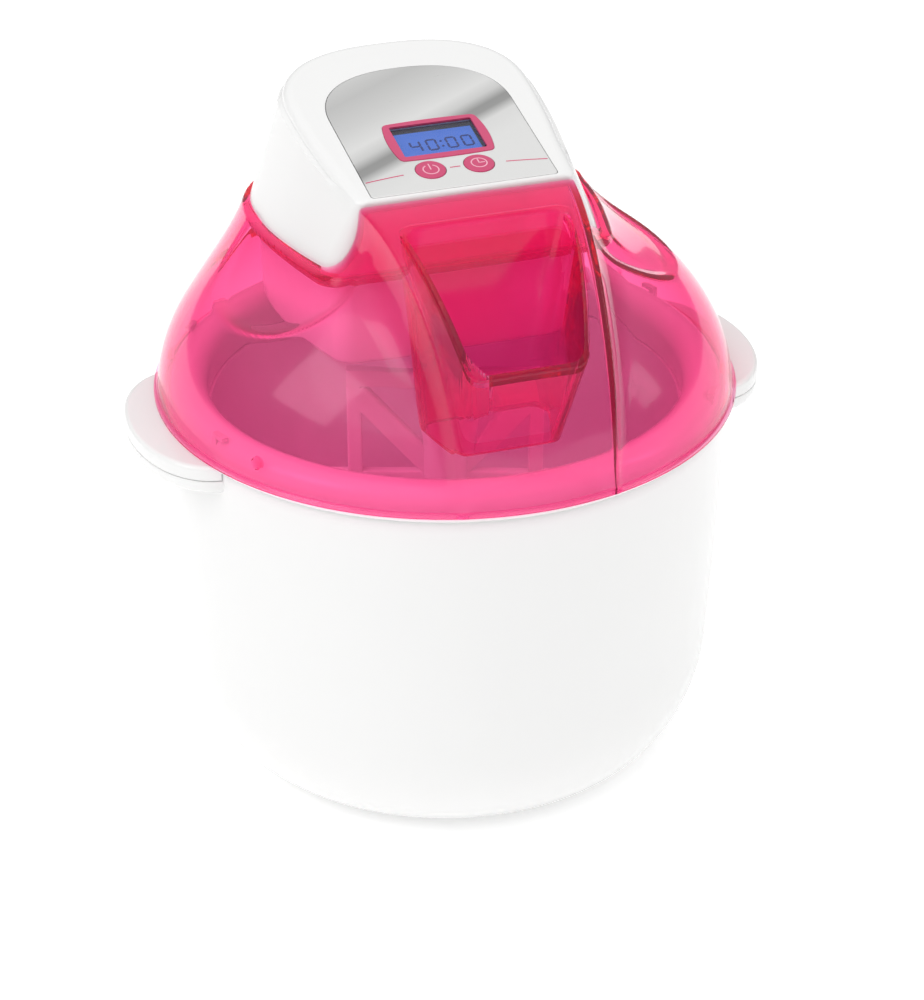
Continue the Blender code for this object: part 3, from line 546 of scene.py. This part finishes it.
def lid_distance(x, y, z, plan):
    """The lid's outer surface: dome, flared neck and chute block, blended by fillets."""
    dome = dome_distance(x, y, z)
    scoop = 1 - ((np.abs(x) - 62) / 31) ** 2 - ((y + 4) / 42) ** 2
    ledge = np.clip(scoop / 0.30, 0, 1)
    dome = dome + (1.5 * ledge * ledge * (3 - 2 * ledge) + 4.4 * np.maximum(scoop, 0)) * (z > 20)
    flare = 2.5 + 0.30 * np.maximum(POCKET_Z - z, 0)
    neck = smooth_max((plan - flare) * 0.95, z - POCKET_Z, 1.0)
    lid = smooth_min(dome, neck, 14)
    fillet = np.clip(16 * (z - 6) / 60, 0.6, 16)
    lid = smooth_min(lid, wedge_distance(x, y, z), fillet)
    flange = smooth_max(np.hypot(x, y) - LID_RADIUS, z - 0.9, 0.6)
    return smooth_min(lid, flange, 1.6)


def wedge_edge_bearing(polar):
    """Bearing from the front of the chute block's top edge, at each polar angle."""
    t = np.radians(np.linspace(0, 84, 60))
    x = WEDGE_HALF - WEDGE_NARROWING * np.sin(t)
    y = WEDGE_START_Y - WEDGE_DEPTH * np.sin(t)
    z = WEDGE_HEIGHT * np.cos(t)
    return np.interp(polar, np.arctan2(np.hypot(x, y), z), np.arctan2(x, -y))


def lid_grid(offset, foot_drop):
    """Rings of points on the surface at an offset inside the lid, its rim lowered by foot_drop."""
    polar = np.radians(90 * (1 - np.linspace(1, 0, 150) ** 1.15))
    polar[0] = math.radians(0.2)
    across = 40
    beyond = 130
    s = np.linspace(0, 1, across + 1)
    near = 1 - (1 - s) ** 1.5
    far = np.linspace(0, 1, beyond + 1)[1:] ** 1.45
    rows = []
    for angle in polar:
        edge = wedge_edge_bearing(angle)
        half = np.concatenate([edge * near, edge + (math.pi - edge) * far])
        bearing = np.concatenate([half, -half[-2:0:-1]])
        flat = math.sin(angle)
        direction = np.stack([np.sin(bearing) * flat, -np.cos(bearing) * flat,
                              np.full(len(bearing), math.cos(angle))], axis=1)
        low = np.full(len(bearing), 20.0)
        high = np.full(len(bearing), 150.0)
        for _ in range(22):
            middle = (low + high) / 2
            p = direction * middle[:, None]
            plan = distance_to_outline(p[:, 0], p[:, 1], FOOT_PLAN) if angle < 1.25 else 60.0
            outside = lid_distance(p[:, 0], p[:, 1], p[:, 2], plan) > -offset
            high = np.where(outside, middle, high)
            low = np.where(outside, low, middle)
        rows.append(direction * ((low + high) / 2)[:, None])
    if foot_drop:
        last = rows[-1].copy()
        last[:, 2] -= foot_drop
        rows.append(last)
    return [row + [0, 0, RIM_Z] for row in rows]


def chute_outline(z, inset):
    """Plan of the chute at a height above the rim."""
    rise = z - 7
    return rounded_trapezoid(-76 - 0.512 * rise + inset, 18.5 + 0.058 * rise - inset, -47.8 - inset,
                             25.5 + 0.0915 * rise - inset, 5.5)


def chute_top(inset, proud):
    """Where the chute's wall meets the lid's surface, for every point of its outline."""
    count = OUTLINE_POINTS
    low, high = np.full(count, 20.0), np.full(count, 99.0)
    levels = np.linspace(10, 100, 91)      # 1 mm apart, so a height is also an index
    stack = np.array([chute_outline(z, inset) for z in levels])
    for _ in range(20):
        middle = (low + high) / 2
        index = middle - levels[0]
        base = np.clip(index.astype(int), 0, len(levels) - 2)
        part = (index - base)[:, None]
        who = np.arange(count)
        p = stack[base, who] * (1 - part) + stack[base + 1, who] * part
        outside = wedge_distance(p[:, 0], p[:, 1], middle) > proud
        high = np.where(outside, middle, high)
        low = np.where(outside, low, middle)
    return np.column_stack([p, middle])


def make_chute():
    """The chute's tapering wall with a rounded lip that stands a little proud."""
    wall = CHUTE_WALL
    levels = (7.0, 16.0, 27.0)
    rows = [at_height(chute_outline(z, -wall), z) for z in levels]
    lip = ((-wall, 0.5), (-wall + 0.35, 0.95), (-wall * 0.5, 1.1), (-0.35, 0.95), (0, 0.3))
    rows += [chute_top(inset, proud) for inset, proud in lip]
    rows += [at_height(chute_outline(z, 0), z) for z in reversed(levels)]
    rows = [row + [0, 0, RIM_Z] for row in rows]
    return rows_to_object("chute", rows, ring=True, sharp=40)


def tall_prism(name, outline, low, high):
    """An upright prism between two heights above the rim, mostly for cutting."""
    return rows_to_object(name, [at_height(outline, RIM_Z + z) for z in (low, high)])


def make_lid():
    """The lid: a hollow dome with its pins, chute, and seat and opening for the motor head."""
    lid = rows_to_object("lid_moulding", lid_grid(0.0, 0.0))
    hollow = rows_to_object("lid_inside", lid_grid(LID_WALL, 3.0))
    combine(hollow, tall_prism("pocket_wall", head_outline(0, -2.5), 61, 130), "DIFFERENCE")
    combine(lid, hollow, "DIFFERENCE")
    for i, degrees in enumerate(HOOK_ANGLES):
        profile = [(0, 109.6), (1.9, 109.6), (2.5, 110.2), (2.5, 113.0), (0, 113.0)]
        pin = lathe(f"pin_{i}", profile, 32)
        turn = Matrix.Rotation(math.radians(degrees + PIN_LAG), 4, "Z")
        lay_down = Matrix.Rotation(math.radians(90), 4, "Y")
        pin.data.transform(Matrix.Translation((0, 0, PIN_Z * MM)) @ turn @ lay_down)
        combine(lid, pin, "UNION")
    bore = [at_height(chute_outline(z, -CHUTE_WALL / 2), RIM_Z + z) for z in (2, 110)]
    combine(lid, rows_to_object("chute_bore", bore), "DIFFERENCE")
    combine(lid, make_chute(), "UNION")
    combine(lid, tall_prism("pocket", head_outline(0, -0.5), POCKET_Z, 140), "DIFFERENCE")
    combine(lid, tall_prism("opening", head_outline(0, 3.0), 20, 120), "DIFFERENCE")
    smooth_shade(lid, 38)
    return finish_piece(lid, "lid", ["lid_dome"], "lid_magenta")


# ---- pot and freezer bowl ---------------------------------------------------------------------


def pot_side(offset, low, high):
    """Side of the pot from the height high to the flat of the base at low."""
    points = []
    first = RIM_Z - high
    for depth in np.linspace(first, POT_TAPER_DEPTH, 22):
        points.append((POT_RADIUS + 0.01 - POT_TAPER * (depth / POT_TAPER_DEPTH) ** 1.5 - offset,
                       RIM_Z - depth))
    radius, start = points[-1]
    slope = 1.5 * POT_TAPER / POT_TAPER_DEPTH
    fall = start - low
    for degrees in range(4, 91, 4):
        a = math.radians(degrees)
        inset = POT_CORNER * (1 - math.cos(a)) + slope * fall * math.sin(a)
        points.append((radius - inset, start - fall * math.sin(a)))
    return points


def tab_outline(shrink=0.0, half=44.0):
    """Both handle tabs in plan: a tongue across the pot with broad round ends."""
    reach = TAB_REACH - shrink
    outline = []
    for side, direction in ((0, 1), (180, -1)):
        for i in range(49):
            a = math.radians(side - 90 + 180 * i / 48)
            bulge = abs(math.cos(a)) ** 0.85
            outline.append((direction * (reach - 30 + 30 * bulge), (half - shrink) * math.sin(a)))
    return np.array(outline)


def tab_plate(name, low, high, edge_low, edge_high, core):
    """One tier of the tabs, with rounded rims, hollowed to a ring of radius core."""
    rows = []
    for i in range(7):
        a = math.radians(90 * i / 6)
        rows.append((low + edge_low * (1 - math.sin(a)) if edge_low else low,
                     edge_low * (1 - math.cos(a))))
    rows = rows[::-1]
    for i in range(7):
        a = math.radians(90 * i / 6)
        rows.append((high - edge_high * (1 - math.sin(a)), edge_high * (1 - math.cos(a))))
    plate = rows_to_object(name, [at_height(tab_outline(inset), z) for z, inset in rows])
    inner = lathe("tab_core", [(core, low - 2), (core, high + 2)], 180)
    return combine(plate, inner, "DIFFERENCE")


def make_pot():
    """The pot with the lower tier of its handle tabs."""
    top = POT_HIGH[2]
    floor = 2.0
    outer = pot_side(0, floor, top - 0.5)
    inner = pot_side(POT_WALL, floor + POT_WALL, top - 0.8)
    profile = [(0, floor + POT_WALL)] + inner[::-1] + [(outer[0][0] - 1.5, top)] + \
        [(outer[0][0] - 0.4, top)] + outer + [(0, floor)]
    pot = lathe("pot_shell", profile, 180)
    tabs = tab_plate("pot_tabs", RIM_Z - 12.8, RIM_Z - 6.6, 3.6, 0.5, POT_RADIUS - 2.0)
    combine(pot, tabs, "UNION")
    smooth_shade(pot, 40)
    return finish_piece(pot, "housing", ["outer_housing"], "white_shell")


def collar_hook(index, degrees):
    """An upright rib with a bent arm; the lid's pins would turn under it."""
    foot, arm, top, width, reach = RIM_Z, RIM_Z + 7.8, RIM_Z + 9.4, 1.2, 6.0
    outline = [(-width, foot), (width, foot), (width, arm), (reach, arm), (reach, top),
               (-width, top)]
    turn = Matrix.Rotation(math.radians(degrees), 3, "Z")
    rows = [[tuple(turn @ Vector((radius, across, z))) for across, z in outline]
            for radius in (107.2, 109.6)]
    return rows_to_object(f"hook_{index}", rows)


def make_collar():
    """The ring at the bowl's mouth, with the upper tier of the tabs and the four hooks."""
    centre = (MOUTH_RADIUS + CROWN_RADIUS, RIM_Z + 1.0)
    seat = COLLAR_SEAT

    def crown(radius, start, end, count):
        angles = np.radians(np.linspace(start, end, count))
        return [(centre[0] + radius * math.cos(a), centre[1] + radius * math.sin(a))
                for a in angles]

    profile = [(MOUTH_RADIUS, seat)] + crown(CROWN_RADIUS, 180, 0, 25) + [
        (110.7, RIM_Z - 0.4), (113.5, RIM_Z - 0.45), (114.0, RIM_Z - 0.7), (114.2, RIM_Z - 1.2),
        (114.2, RIM_Z - 2.3), (113.8, RIM_Z - 2.7), (109.7, RIM_Z - 2.7), (109.7, seat),
        (107.5, seat)]
    profile += crown(CROWN_RADIUS - 2.2, 0, 180, 13) + [(MOUTH_RADIUS + 2.2, seat)]
    collar = lathe("collar_ring", profile[::-1], 180, closed=True)
    tabs = tab_plate("collar_tabs", RIM_Z - 6.3, RIM_Z - 0.5, 0.4, 1.6, 112.0)
    clear = POT_RADIUS + 0.5
    below = lathe("tab_relief", [(clear, RIM_Z - 9), (clear, RIM_Z - 2.7)], 180)
    combine(tabs, below, "DIFFERENCE")
    combine(collar, tabs, "UNION")
    for i, degrees in enumerate(HOOK_ANGLES):
        combine(collar, collar_hook(i, degrees), "UNION")
    smooth_shade(collar, 40)
    return finish_piece(collar, "freezer_bowl", ["bowl_collar"], "white_shell")


def liner_side(offset):
    """The metal liner from its mouth down to its rounded floor."""
    seat = LINER_HIGH[2]
    corner = 18.0
    start = LINER_FLOOR + corner
    points = []
    for z in np.linspace(seat, start, 20):
        depth = (RIM_Z - 8 - z) / (RIM_Z - 8 - LINER_FLOOR)
        points.append((94.0 - 9.0 * max(depth, 0) ** 1.4 + offset, z))
    radius = points[-1][0]
    for degrees in range(6, 91, 6):
        a = math.radians(degrees)
        inset = (corner + offset) * (1 - math.cos(a))
        points.append((radius - inset, start - (corner + offset) * math.sin(a)))
    return points


def make_liner():
    """The metal inner bowl."""
    profile = [(0, LINER_FLOOR)] + liner_side(0)[::-1] + liner_side(1.2) + [(0, LINER_LOW[2])]
    liner = lathe("metal_liner", profile, 180)
    return finish_piece(liner, "freezer_bowl", ["bowl_liner"], "liner_metal")


def make_paddle():
    """Hub, beams, posts and braces of the paddle, every bar with rounded edges."""
    top, waist, foot = RIM_Z + 4, RIM_Z - 44, LINER_FLOOR + 6
    hub = [(0, foot - 3), (7.6, foot - 3), (9, foot - 1.6), (9, RIM_Z + 8), (8.2, RIM_Z + 9),
           (0, RIM_Z + 9)]
    paddle = lathe("paddle_frame", hub, 48)
    bars = [((-39.5, top - 3.8), (39.5, top - 3.8), 3.8),
            ((-36.6, top), (-36.6, waist), 3.0), ((36.6, top), (36.6, waist), 3.0),
            ((-36, top - 10), (-4, waist + 2), 4.5), ((36, top - 10), (4, waist + 2), 4.5),
            ((-78, waist - 2), (78, waist - 2), 4.0),
            ((-77, waist - 2), (-71, foot + 14), 5.0), ((77, waist - 2), (71, foot + 14), 5.0),
            ((-74, foot + 16), (-58, foot), 4.5), ((74, foot + 16), (58, foot), 4.5),
            ((-60, foot + 1), (60, foot + 1), 4.5)]
    thick = 2.5
    for i, (start, end, half) in enumerate(bars):
        combine(paddle, rounded_bar(f"bar_{i}", start, end, half, thick), "UNION")
    socket = disc_outline(SOCKET_RADIUS, 0, 0, 6)
    paddle.data.transform(Matrix.Rotation(PADDLE_TURN, 4, "Z"))
    # The driver's six sides aren't turned with the paddle, so the socket is cut after the turn.
    combine(paddle, tall_prism("socket", socket, -10, 20), "DIFFERENCE")
    smooth_shade(paddle, 35)
    return finish_piece(paddle, "paddle", ["paddle"], "white_paddle")


def rounded_bar(name, start, end, half, thick):
    """A bar between two points of the XZ plane, its long edges rounded."""
    low, high = np.array([start[0], 0, start[1]], float), np.array([end[0], 0, end[1]], float)
    along = (high - low) / np.linalg.norm(high - low)
    side = np.array([-along[2], 0, along[0]])
    through = np.array([0, 1.0, 0])
    r = 1.0
    section = []
    for sx, sy, start_angle in ((1, 1, 0), (-1, 1, 90), (-1, -1, 180), (1, -1, 270)):
        for k in range(4):
            a = math.radians(start_angle + 30 * k)
            section.append(side * (sx * (half - r) + r * math.cos(a)) +
                           through * (sy * (thick - r) + r * math.sin(a)))
    section = np.array(section)
    return rows_to_object(name, [section + low, section + high])


# ---- motor head -------------------------------------------------------------------------------


def panel_height(y):
    """Height of the sloping panel's plane."""
    return PANEL_Z + PANEL_SLOPE * y


def head_row(level, inset, drop):
    """A ring round the head's cover; its top edge is crisper at the front than at the back."""
    outline = head_outline(min(level, 1.0), inset, 2)
    crisp = FRONT_CRISPNESS * np.clip(-outline[:, 1] / 20, 0, 1) * (level >= 1)
    outline[:, 1] -= inset * crisp
    top = panel_height(outline[:, 1]) - drop * (1 - crisp)
    height = HEAD_SEAT + (top - HEAD_SEAT) * level if level < 1 else top
    return np.column_stack([outline, height])


def to_panel(piece):
    """Move a piece from the panel's own frame to its place on the head."""
    turn = Matrix.Translation((0, 0, PANEL_Z * MM)) @ Matrix.Rotation(PANEL_TILT, 4, "X")
    piece.data.transform(turn)
    return piece


def fascia_outline(inset=0.0):
    """The bright plate in the panel's plane: straight in front, round at the back."""
    half, front, shoulder, back = 37.5 - inset, FASCIA_FRONT + inset, 28.0, 60.5 - inset
    corner = 1.5
    right = []
    for i in range(5):
        a = math.radians(-90 + 90 * i / 4)
        right.append((half - corner + corner * math.cos(a), front + corner + corner * math.sin(a)))
    for y in np.linspace(front + 6, shoulder - 2, 14):
        right.append((half, y))
    for i in range(49):
        a = math.radians(90 * i / 48)
        right.append((half * math.cos(a) ** 0.85,
                      shoulder + (back - shoulder) * math.sin(a) ** 0.85))
    return np.array(right + [(-x, y) for x, y in reversed(right[:-1])])


def window_outline(half, low, high, bow, radius):
    """A window with round corners and bowed sides."""
    points = []
    middle, tall = (low + high) / 2, (high - low) / 2
    for sx, sy, start in ((1, -1, -90), (1, 1, 0), (-1, 1, 90), (-1, -1, 180)):
        for k in range(9):
            a = math.radians(start + 90 * k / 8)
            points.append((sx * (half - radius) + radius * math.cos(a),
                           sy * (tall - radius) + radius * math.sin(a)))
    points = resampled(np.array(points), 160)
    swell = bow * (1 - (points[:, 1] / tall) ** 2) * (points[:, 0] / half)
    lift = 0.35 * bow * (1 - (points[:, 0] / half) ** 2) * (points[:, 1] / tall)
    points[:, 0] += swell
    points[:, 1] += lift + middle
    return points


def disc_outline(radius, x, y, count=72):
    a = np.linspace(0, 2 * math.pi, count, endpoint=False)
    return np.stack([x + radius * np.cos(a), y + radius * np.sin(a)], axis=1)


def make_head():
    """The cover: round-topped, open below, with its panel recessed for the bright plate."""
    rows = [head_row(0.0, 3.0, 0), head_row(0.0, 0.6, 0), head_row(0.012, 0.0, 0)]
    rows += [head_row(level, 0.0, 0) for level in np.linspace(0.06, 0.88, 14)]
    round_over = 4.2
    for i in range(9):
        a = math.radians(90 * i / 8)
        rows.append(head_row(1.0, round_over * (1 - math.cos(a)), round_over * (1 - math.sin(a))))
    cover = rows_to_object("head_cover", rows, sharp=50)
    # Under the panel, the circuit board sits and the buttons' flanges move.
    under_panel = prism("under_panel", fascia_outline(1.0), BELOW_BOARD, SHEET_UNDERSIDE)
    cutters = [to_panel(prism("recess", fascia_outline(-0.3), RECESS_FLOOR, 9)),
               tall_prism("inside", head_outline(0.42, 5.5), 60, 88), to_panel(under_panel),
               to_panel(prism("window", window_outline(17.2, -3.0, 19.2, 0, 1), -14, 6))]
    for side in (-1, 1):
        well = disc_outline(BUTTON_RADIUS + 0.5, side * BUTTON_X, BUTTON_S)
        cutters.append(to_panel(prism("button_well", well, -14, 6)))
    for cutter in cutters:
        combine(cover, cutter, "DIFFERENCE")
    smooth_shade(cover, 38)
    finish_piece(cover, "motor_head", ["head_shell"], "white_shell")


def make_base():
    """The tub that holds the gears and dips into the lid."""
    outer = [(23.0, 30.0), (23.0, 7.4), (23.3, 6.2), (24.2, 5.2), (25.8, 4.6), (40, 4.2), (67, 4.2)]
    inner = [(25.6, 30), (25.6, 7.2), (44, 6.4), (69, 6.4)]
    tub, hollow = (rows_to_object(name, [at_height(head_outline(0, inset, 2), RIM_Z + z)
                                         for z, inset in levels], sharp=40)
                   for name, levels in (("gear_tub", outer), ("tub_inside", inner)))
    combine(tub, hollow, "DIFFERENCE")
    for x, y in ((-36, -12), (36, -12), (-38, 52), (38, 52)):
        pillar = prism("pillar", disc_outline(4.0, x, y, 24), RIM_Z + 25, RIM_Z + 47.7)
        combine(tub, pillar, "UNION")
    combine(tub, tall_prism("output_hole", disc_outline(7.0, 0, 0, 48), 15, 40), "DIFFERENCE")
    smooth_shade(tub, 38)
    finish_piece(tub, "motor_head", ["head_base"], "white_shell")


SEGMENTS = {"0": "abcdef", "4": "bcfg"}


def digit_bars(figure, x, y, wide, tall, stroke):
    """Outlines of one seven-segment figure, each bar with pointed ends."""
    half = tall / 2
    places = {"a": ((0, tall), (wide, tall)), "g": ((0, half), (wide, half)),
              "d": ((0, 0), (wide, 0)),
              "f": ((0, half), (0, tall)), "b": ((wide, half), (wide, tall)),
              "e": ((0, 0), (0, half)), "c": ((wide, 0), (wide, half))}
    bars = []
    for key in SEGMENTS[figure]:
        start, end = (np.array(p, float) + (x, y) for p in places[key])
        along = (end - start) / np.linalg.norm(end - start)
        side = np.array([-along[1], along[0]]) * stroke / 2
        tip = along * stroke / 2
        start, end = start + along * stroke * 0.15, end - along * stroke * 0.15
        bars.append(np.array([start, start + tip - side, end - tip - side, end, end - tip + side,
                              start + tip + side]))
    return bars


def flat_shapes(name, outlines, low, high):
    """Several small plates in one mesh."""
    bm = bmesh.new()
    for outline in outlines:
        lower = [bm.verts.new((x, y, low)) for x, y in outline]
        upper = [bm.verts.new((x, y, high)) for x, y in outline]
        bm.faces.new(lower[::-1])
        bm.faces.new(upper)
        for i in range(len(lower)):
            j = (i + 1) % len(lower)
            bm.faces.new((lower[i], lower[j], upper[j], upper[i]))
    bmesh.ops.recalc_face_normals(bm, faces=bm.faces)
    return to_panel(to_object(name, bm))


def arc_outline(radius, width, x, y, start, end, count=40):
    """An open ring, as the arc of a power or clock symbol."""
    a = np.radians(np.linspace(start, end, count))
    outer = np.stack([x + radius * np.cos(a), y + radius * np.sin(a)], axis=1)
    inner = np.stack([x + (radius - width) * np.cos(a), y + (radius - width) * np.sin(a)], axis=1)
    return np.vstack([outer, inner[::-1]])


def arched_line(start, end, width=0.5):
    """A thin line across the panel that falls away towards its ends."""
    x = np.linspace(start, end, 9)
    y = BUTTON_S - 2.8 * (x / 36) ** 2
    lower, upper = (np.stack([x, y + shift], axis=1) for shift in (-width / 2, width / 2))
    return np.vstack([lower, upper[::-1]])


def bar_outline(x0, y0, x1, y1, width):
    """A straight stroke between two points of the panel."""
    along = np.array([x1 - x0, y1 - y0], float)
    side = np.array([-along[1], along[0]]) / np.linalg.norm(along) * width / 2
    start, end = np.array([x0, y0]), np.array([x1, y1])
    return np.array([start - side, end - side, end + side, start + side])


def make_panel():
    """The bright plate, the display's frame, window, screen with a sheet of painted shadow, figures,
    and the thin lines.
    """
    fascia = prism("fascia_skin", fascia_outline(), -1.0, 0.1, 0.15)
    hole = window_outline(19.0, -5.1, 21.1, 1.7, 1.6)
    combine(fascia, prism("bezel_hole", hole, -5, 5), "DIFFERENCE")
    for side in (-1, 1):
        well = disc_outline(BUTTON_RADIUS + 0.2, side * BUTTON_X, BUTTON_S)
        combine(fascia, prism("fascia_well", well, -5, 5), "DIFFERENCE")
    finish_piece(to_panel(fascia), "motor_head", ["fascia_plate"], "fascia_metal")

    bezel = prism("bezel_ring", window_outline(18.9, -5.0, 21.0, 1.7, 1.6), -1.0, 0.4, 0.25)
    opening = window_outline(16.8, -2.6, 18.8, 0, 0.6)
    combine(bezel, prism("bezel_window", opening, -5, 5), "DIFFERENCE")
    finish_piece(to_panel(bezel), "motor_head", ["display_bezel"], "accent_pink")

    lens = prism("window_glass", window_outline(16.7, -2.5, 18.7, 0, 0.6), -0.9, -0.2, 0.1)
    finish_piece(to_panel(lens), "motor_head", ["display_lens"], "clear_lens")

    screen = prism("screen", window_outline(17.0, -2.9, 19.1, 0, 0.4), -3.6, -1.6, 0.1)
    finish_piece(to_panel(screen), "motor_head", ["lcd_panel"], "display_blue")
    # Painted shadow: a dark sheet along the screen's top and right edges, where the bezel shades the
    # recessed screen.
    strip = np.array([(-16.9, 15.6), (16.9, 15.6), (16.9, 18.9), (-16.9, 18.9)])
    edge = np.array([(15.7, -2.6), (16.9, -2.6), (16.9, 15.6), (15.7, 15.6)])
    bezel_shadow_sheet = flat_shapes("screen_shade", [strip, edge], SCREEN_TOP, -1.5)
    finish_piece(bezel_shadow_sheet, "motor_head", [], "display_blue", "display_dark")
    bars = []
    wide, tall = 3.7, 6.9
    for figure, x in (("4", -11.4), ("0", -4.8), ("0", 3.2), ("0", 9.6)):
        bars += digit_bars(figure, x, 2.4, wide, tall, 0.8)
    for y in (4.2, 7.6):
        bars.append(disc_outline(0.5, 1.0, y, 16))
    figures = flat_shapes("figures", bars, SCREEN_TOP, -1.48)
    finish_piece(figures, "motor_head", [], "display_blue", "digit_navy")

    spans = ((-36.8, -21.0), (-2.0, 2.2), (20.5, 36.8))
    lines = flat_shapes("accent_lines", [arched_line(*span) for span in spans], 0.05, 0.14)
    finish_piece(lines, "motor_head", [], "accent_pink", "line_pink")


def make_button(name, side, symbol):
    """A domed round button with its symbol standing a hair above it."""
    x = side * BUTTON_X
    edge = 0.5
    profile = [(0, -6.6), (2.0, -6.6), (2.0, -4.6), (7.6, -4.6), (7.6, -3.6), (BUTTON_RADIUS, -3.6)]
    for degrees in range(0, 91, 15):
        a = math.radians(degrees)
        profile.append((BUTTON_RADIUS - edge + edge * math.cos(a), edge * math.sin(a)))
    profile += [(3.0, 0.55), (0, 0.58)]
    button = lathe(f"{name}_cap", profile, 72)
    button.data.transform(Matrix.Translation((x * MM, BUTTON_S * MM, 0)))
    finish_piece(to_panel(button), name, [name], "accent_pink")
    mark = flat_shapes(f"{name}_symbol", symbol, 0.45, 0.62)
    finish_piece(mark, name, [], "accent_pink", "symbol_pink")


def make_buttons():
    """The power button at the left and the timer button at the right."""
    x = -BUTTON_X
    power = [arc_outline(3.3, 0.5, x, BUTTON_S - 0.3, 118, 422),
             bar_outline(x, BUTTON_S - 0.4, x, BUTTON_S + 3.6, 0.5)]
    make_button("power_button", -1, power)
    x = BUTTON_X
    clock = [arc_outline(3.3, 0.5, x, BUTTON_S, 0, 180),
             arc_outline(3.3, 0.5, x, BUTTON_S, 180, 360),
             bar_outline(x, BUTTON_S - 0.2, x, BUTTON_S + 3.2, 0.5),
             bar_outline(x, BUTTON_S, x + 2.4, BUTTON_S, 0.5)]
    make_button("timer_button", 1, clock)


# ---- camera, light and floor ------------------------------------------------------------------


def make_camera():
    """A long lens in front and a little to the left, looking down by 29 degrees."""
    around, down, distance = math.radians(-18.8), math.radians(29.09), 1.3372
    across, up = 0.0068, -0.04925
    level = math.cos(down)
    back = Vector((math.sin(around) * level, -math.cos(around) * level, math.sin(down)))
    right = Vector((math.cos(around), math.sin(around), 0))
    above = back.cross(right)
    camera = bpy.data.objects.new("camera", bpy.data.cameras.new("camera"))
    camera.data.lens = 120.0
    camera.data.sensor_width = 36.0
    camera.data.clip_start = 0.01
    bpy.context.scene.collection.objects.link(camera)
    camera.location = Vector((0, 0, RIM_Z * MM)) + back * distance + right * across + above * up
    camera.rotation_euler = Matrix((right, above, back)).transposed().to_euler()
    bpy.context.scene.camera = camera


def area_light(name, place, target, width, height, power):
    """A soft box at a place, facing a target."""
    light = bpy.data.lights.new(name, "AREA")
    light.shape = "RECTANGLE"
    light.size = width
    light.size_y = height
    light.energy = power
    lamp = bpy.data.objects.new(name, light)
    bpy.context.scene.collection.objects.link(lamp)
    lamp.location = place
    lamp.rotation_euler = (Vector(target) - Vector(place)).to_track_quat("-Z", "Y").to_euler()


def make_studio():
    """A graded sky, a wide sun, two soft boxes and a pale floor."""
    scene = bpy.context.scene
    scene.view_settings.view_transform = "Standard"
    world = bpy.data.worlds.new("studio")
    scene.world = world
    world.use_nodes = True
    tree = world.node_tree
    height = coordinates(tree, "Generated")["Z"]
    sky = grey_ramp(tree, height, [(0.0, 0.24), (0.25, 0.34), (0.55, 0.75), (1.0, 0.88)])
    tree.links.new(sky, tree.nodes["Background"].inputs["Color"])
    sun = bpy.data.objects.new("sky_panel", bpy.data.lights.new("sky_panel", "SUN"))
    sun.data.energy = 0.78
    sun.data.angle = math.radians(70)
    sun.rotation_euler = Vector((-0.30, -0.30, 1.0)).to_track_quat("Z", "Y").to_euler()
    scene.collection.objects.link(sun)
    area_light("left_box", (-1.15, -0.15, 1.15), (0, 0, 0.2), 0.7, 0.7, 3.0)
    area_light("right_box", (1.2, -0.4, 0.9), (0, 0, 0.2), 0.3, 0.9, 1.5)
    bm = bmesh.new()
    bmesh.ops.create_grid(bm, x_segments=8, y_segments=8, size=20000)
    floor = to_object("floor", bm)
    floor.data.materials.append(surface("floor_pale", (0.93, 0.93, 0.93), 0.7, grain=200, bump=0.02,
                                        tone=0.004, Emission_Color=(1, 1, 1, 1),
                                        Emission_Strength=0.28))


# ---- build ------------------------------------------------------------------------------------


def dress_cad_nodes():
    """Give every CAD node that stays in view the procedural material of its slot."""
    slots = {entry["node"]: entry["material_slot"] for entry in frame["record"]["subparts"]}
    for name, piece in frame["nodes"].items():
        piece.data.materials.clear()
        piece.data.materials.append(MATERIALS[slots[name]])


make_camera()
make_studio()
dress_cad_nodes()
make_pot()
make_collar()
make_liner()
make_paddle()
make_lid()
make_head()
make_base()
make_panel()
make_buttons()
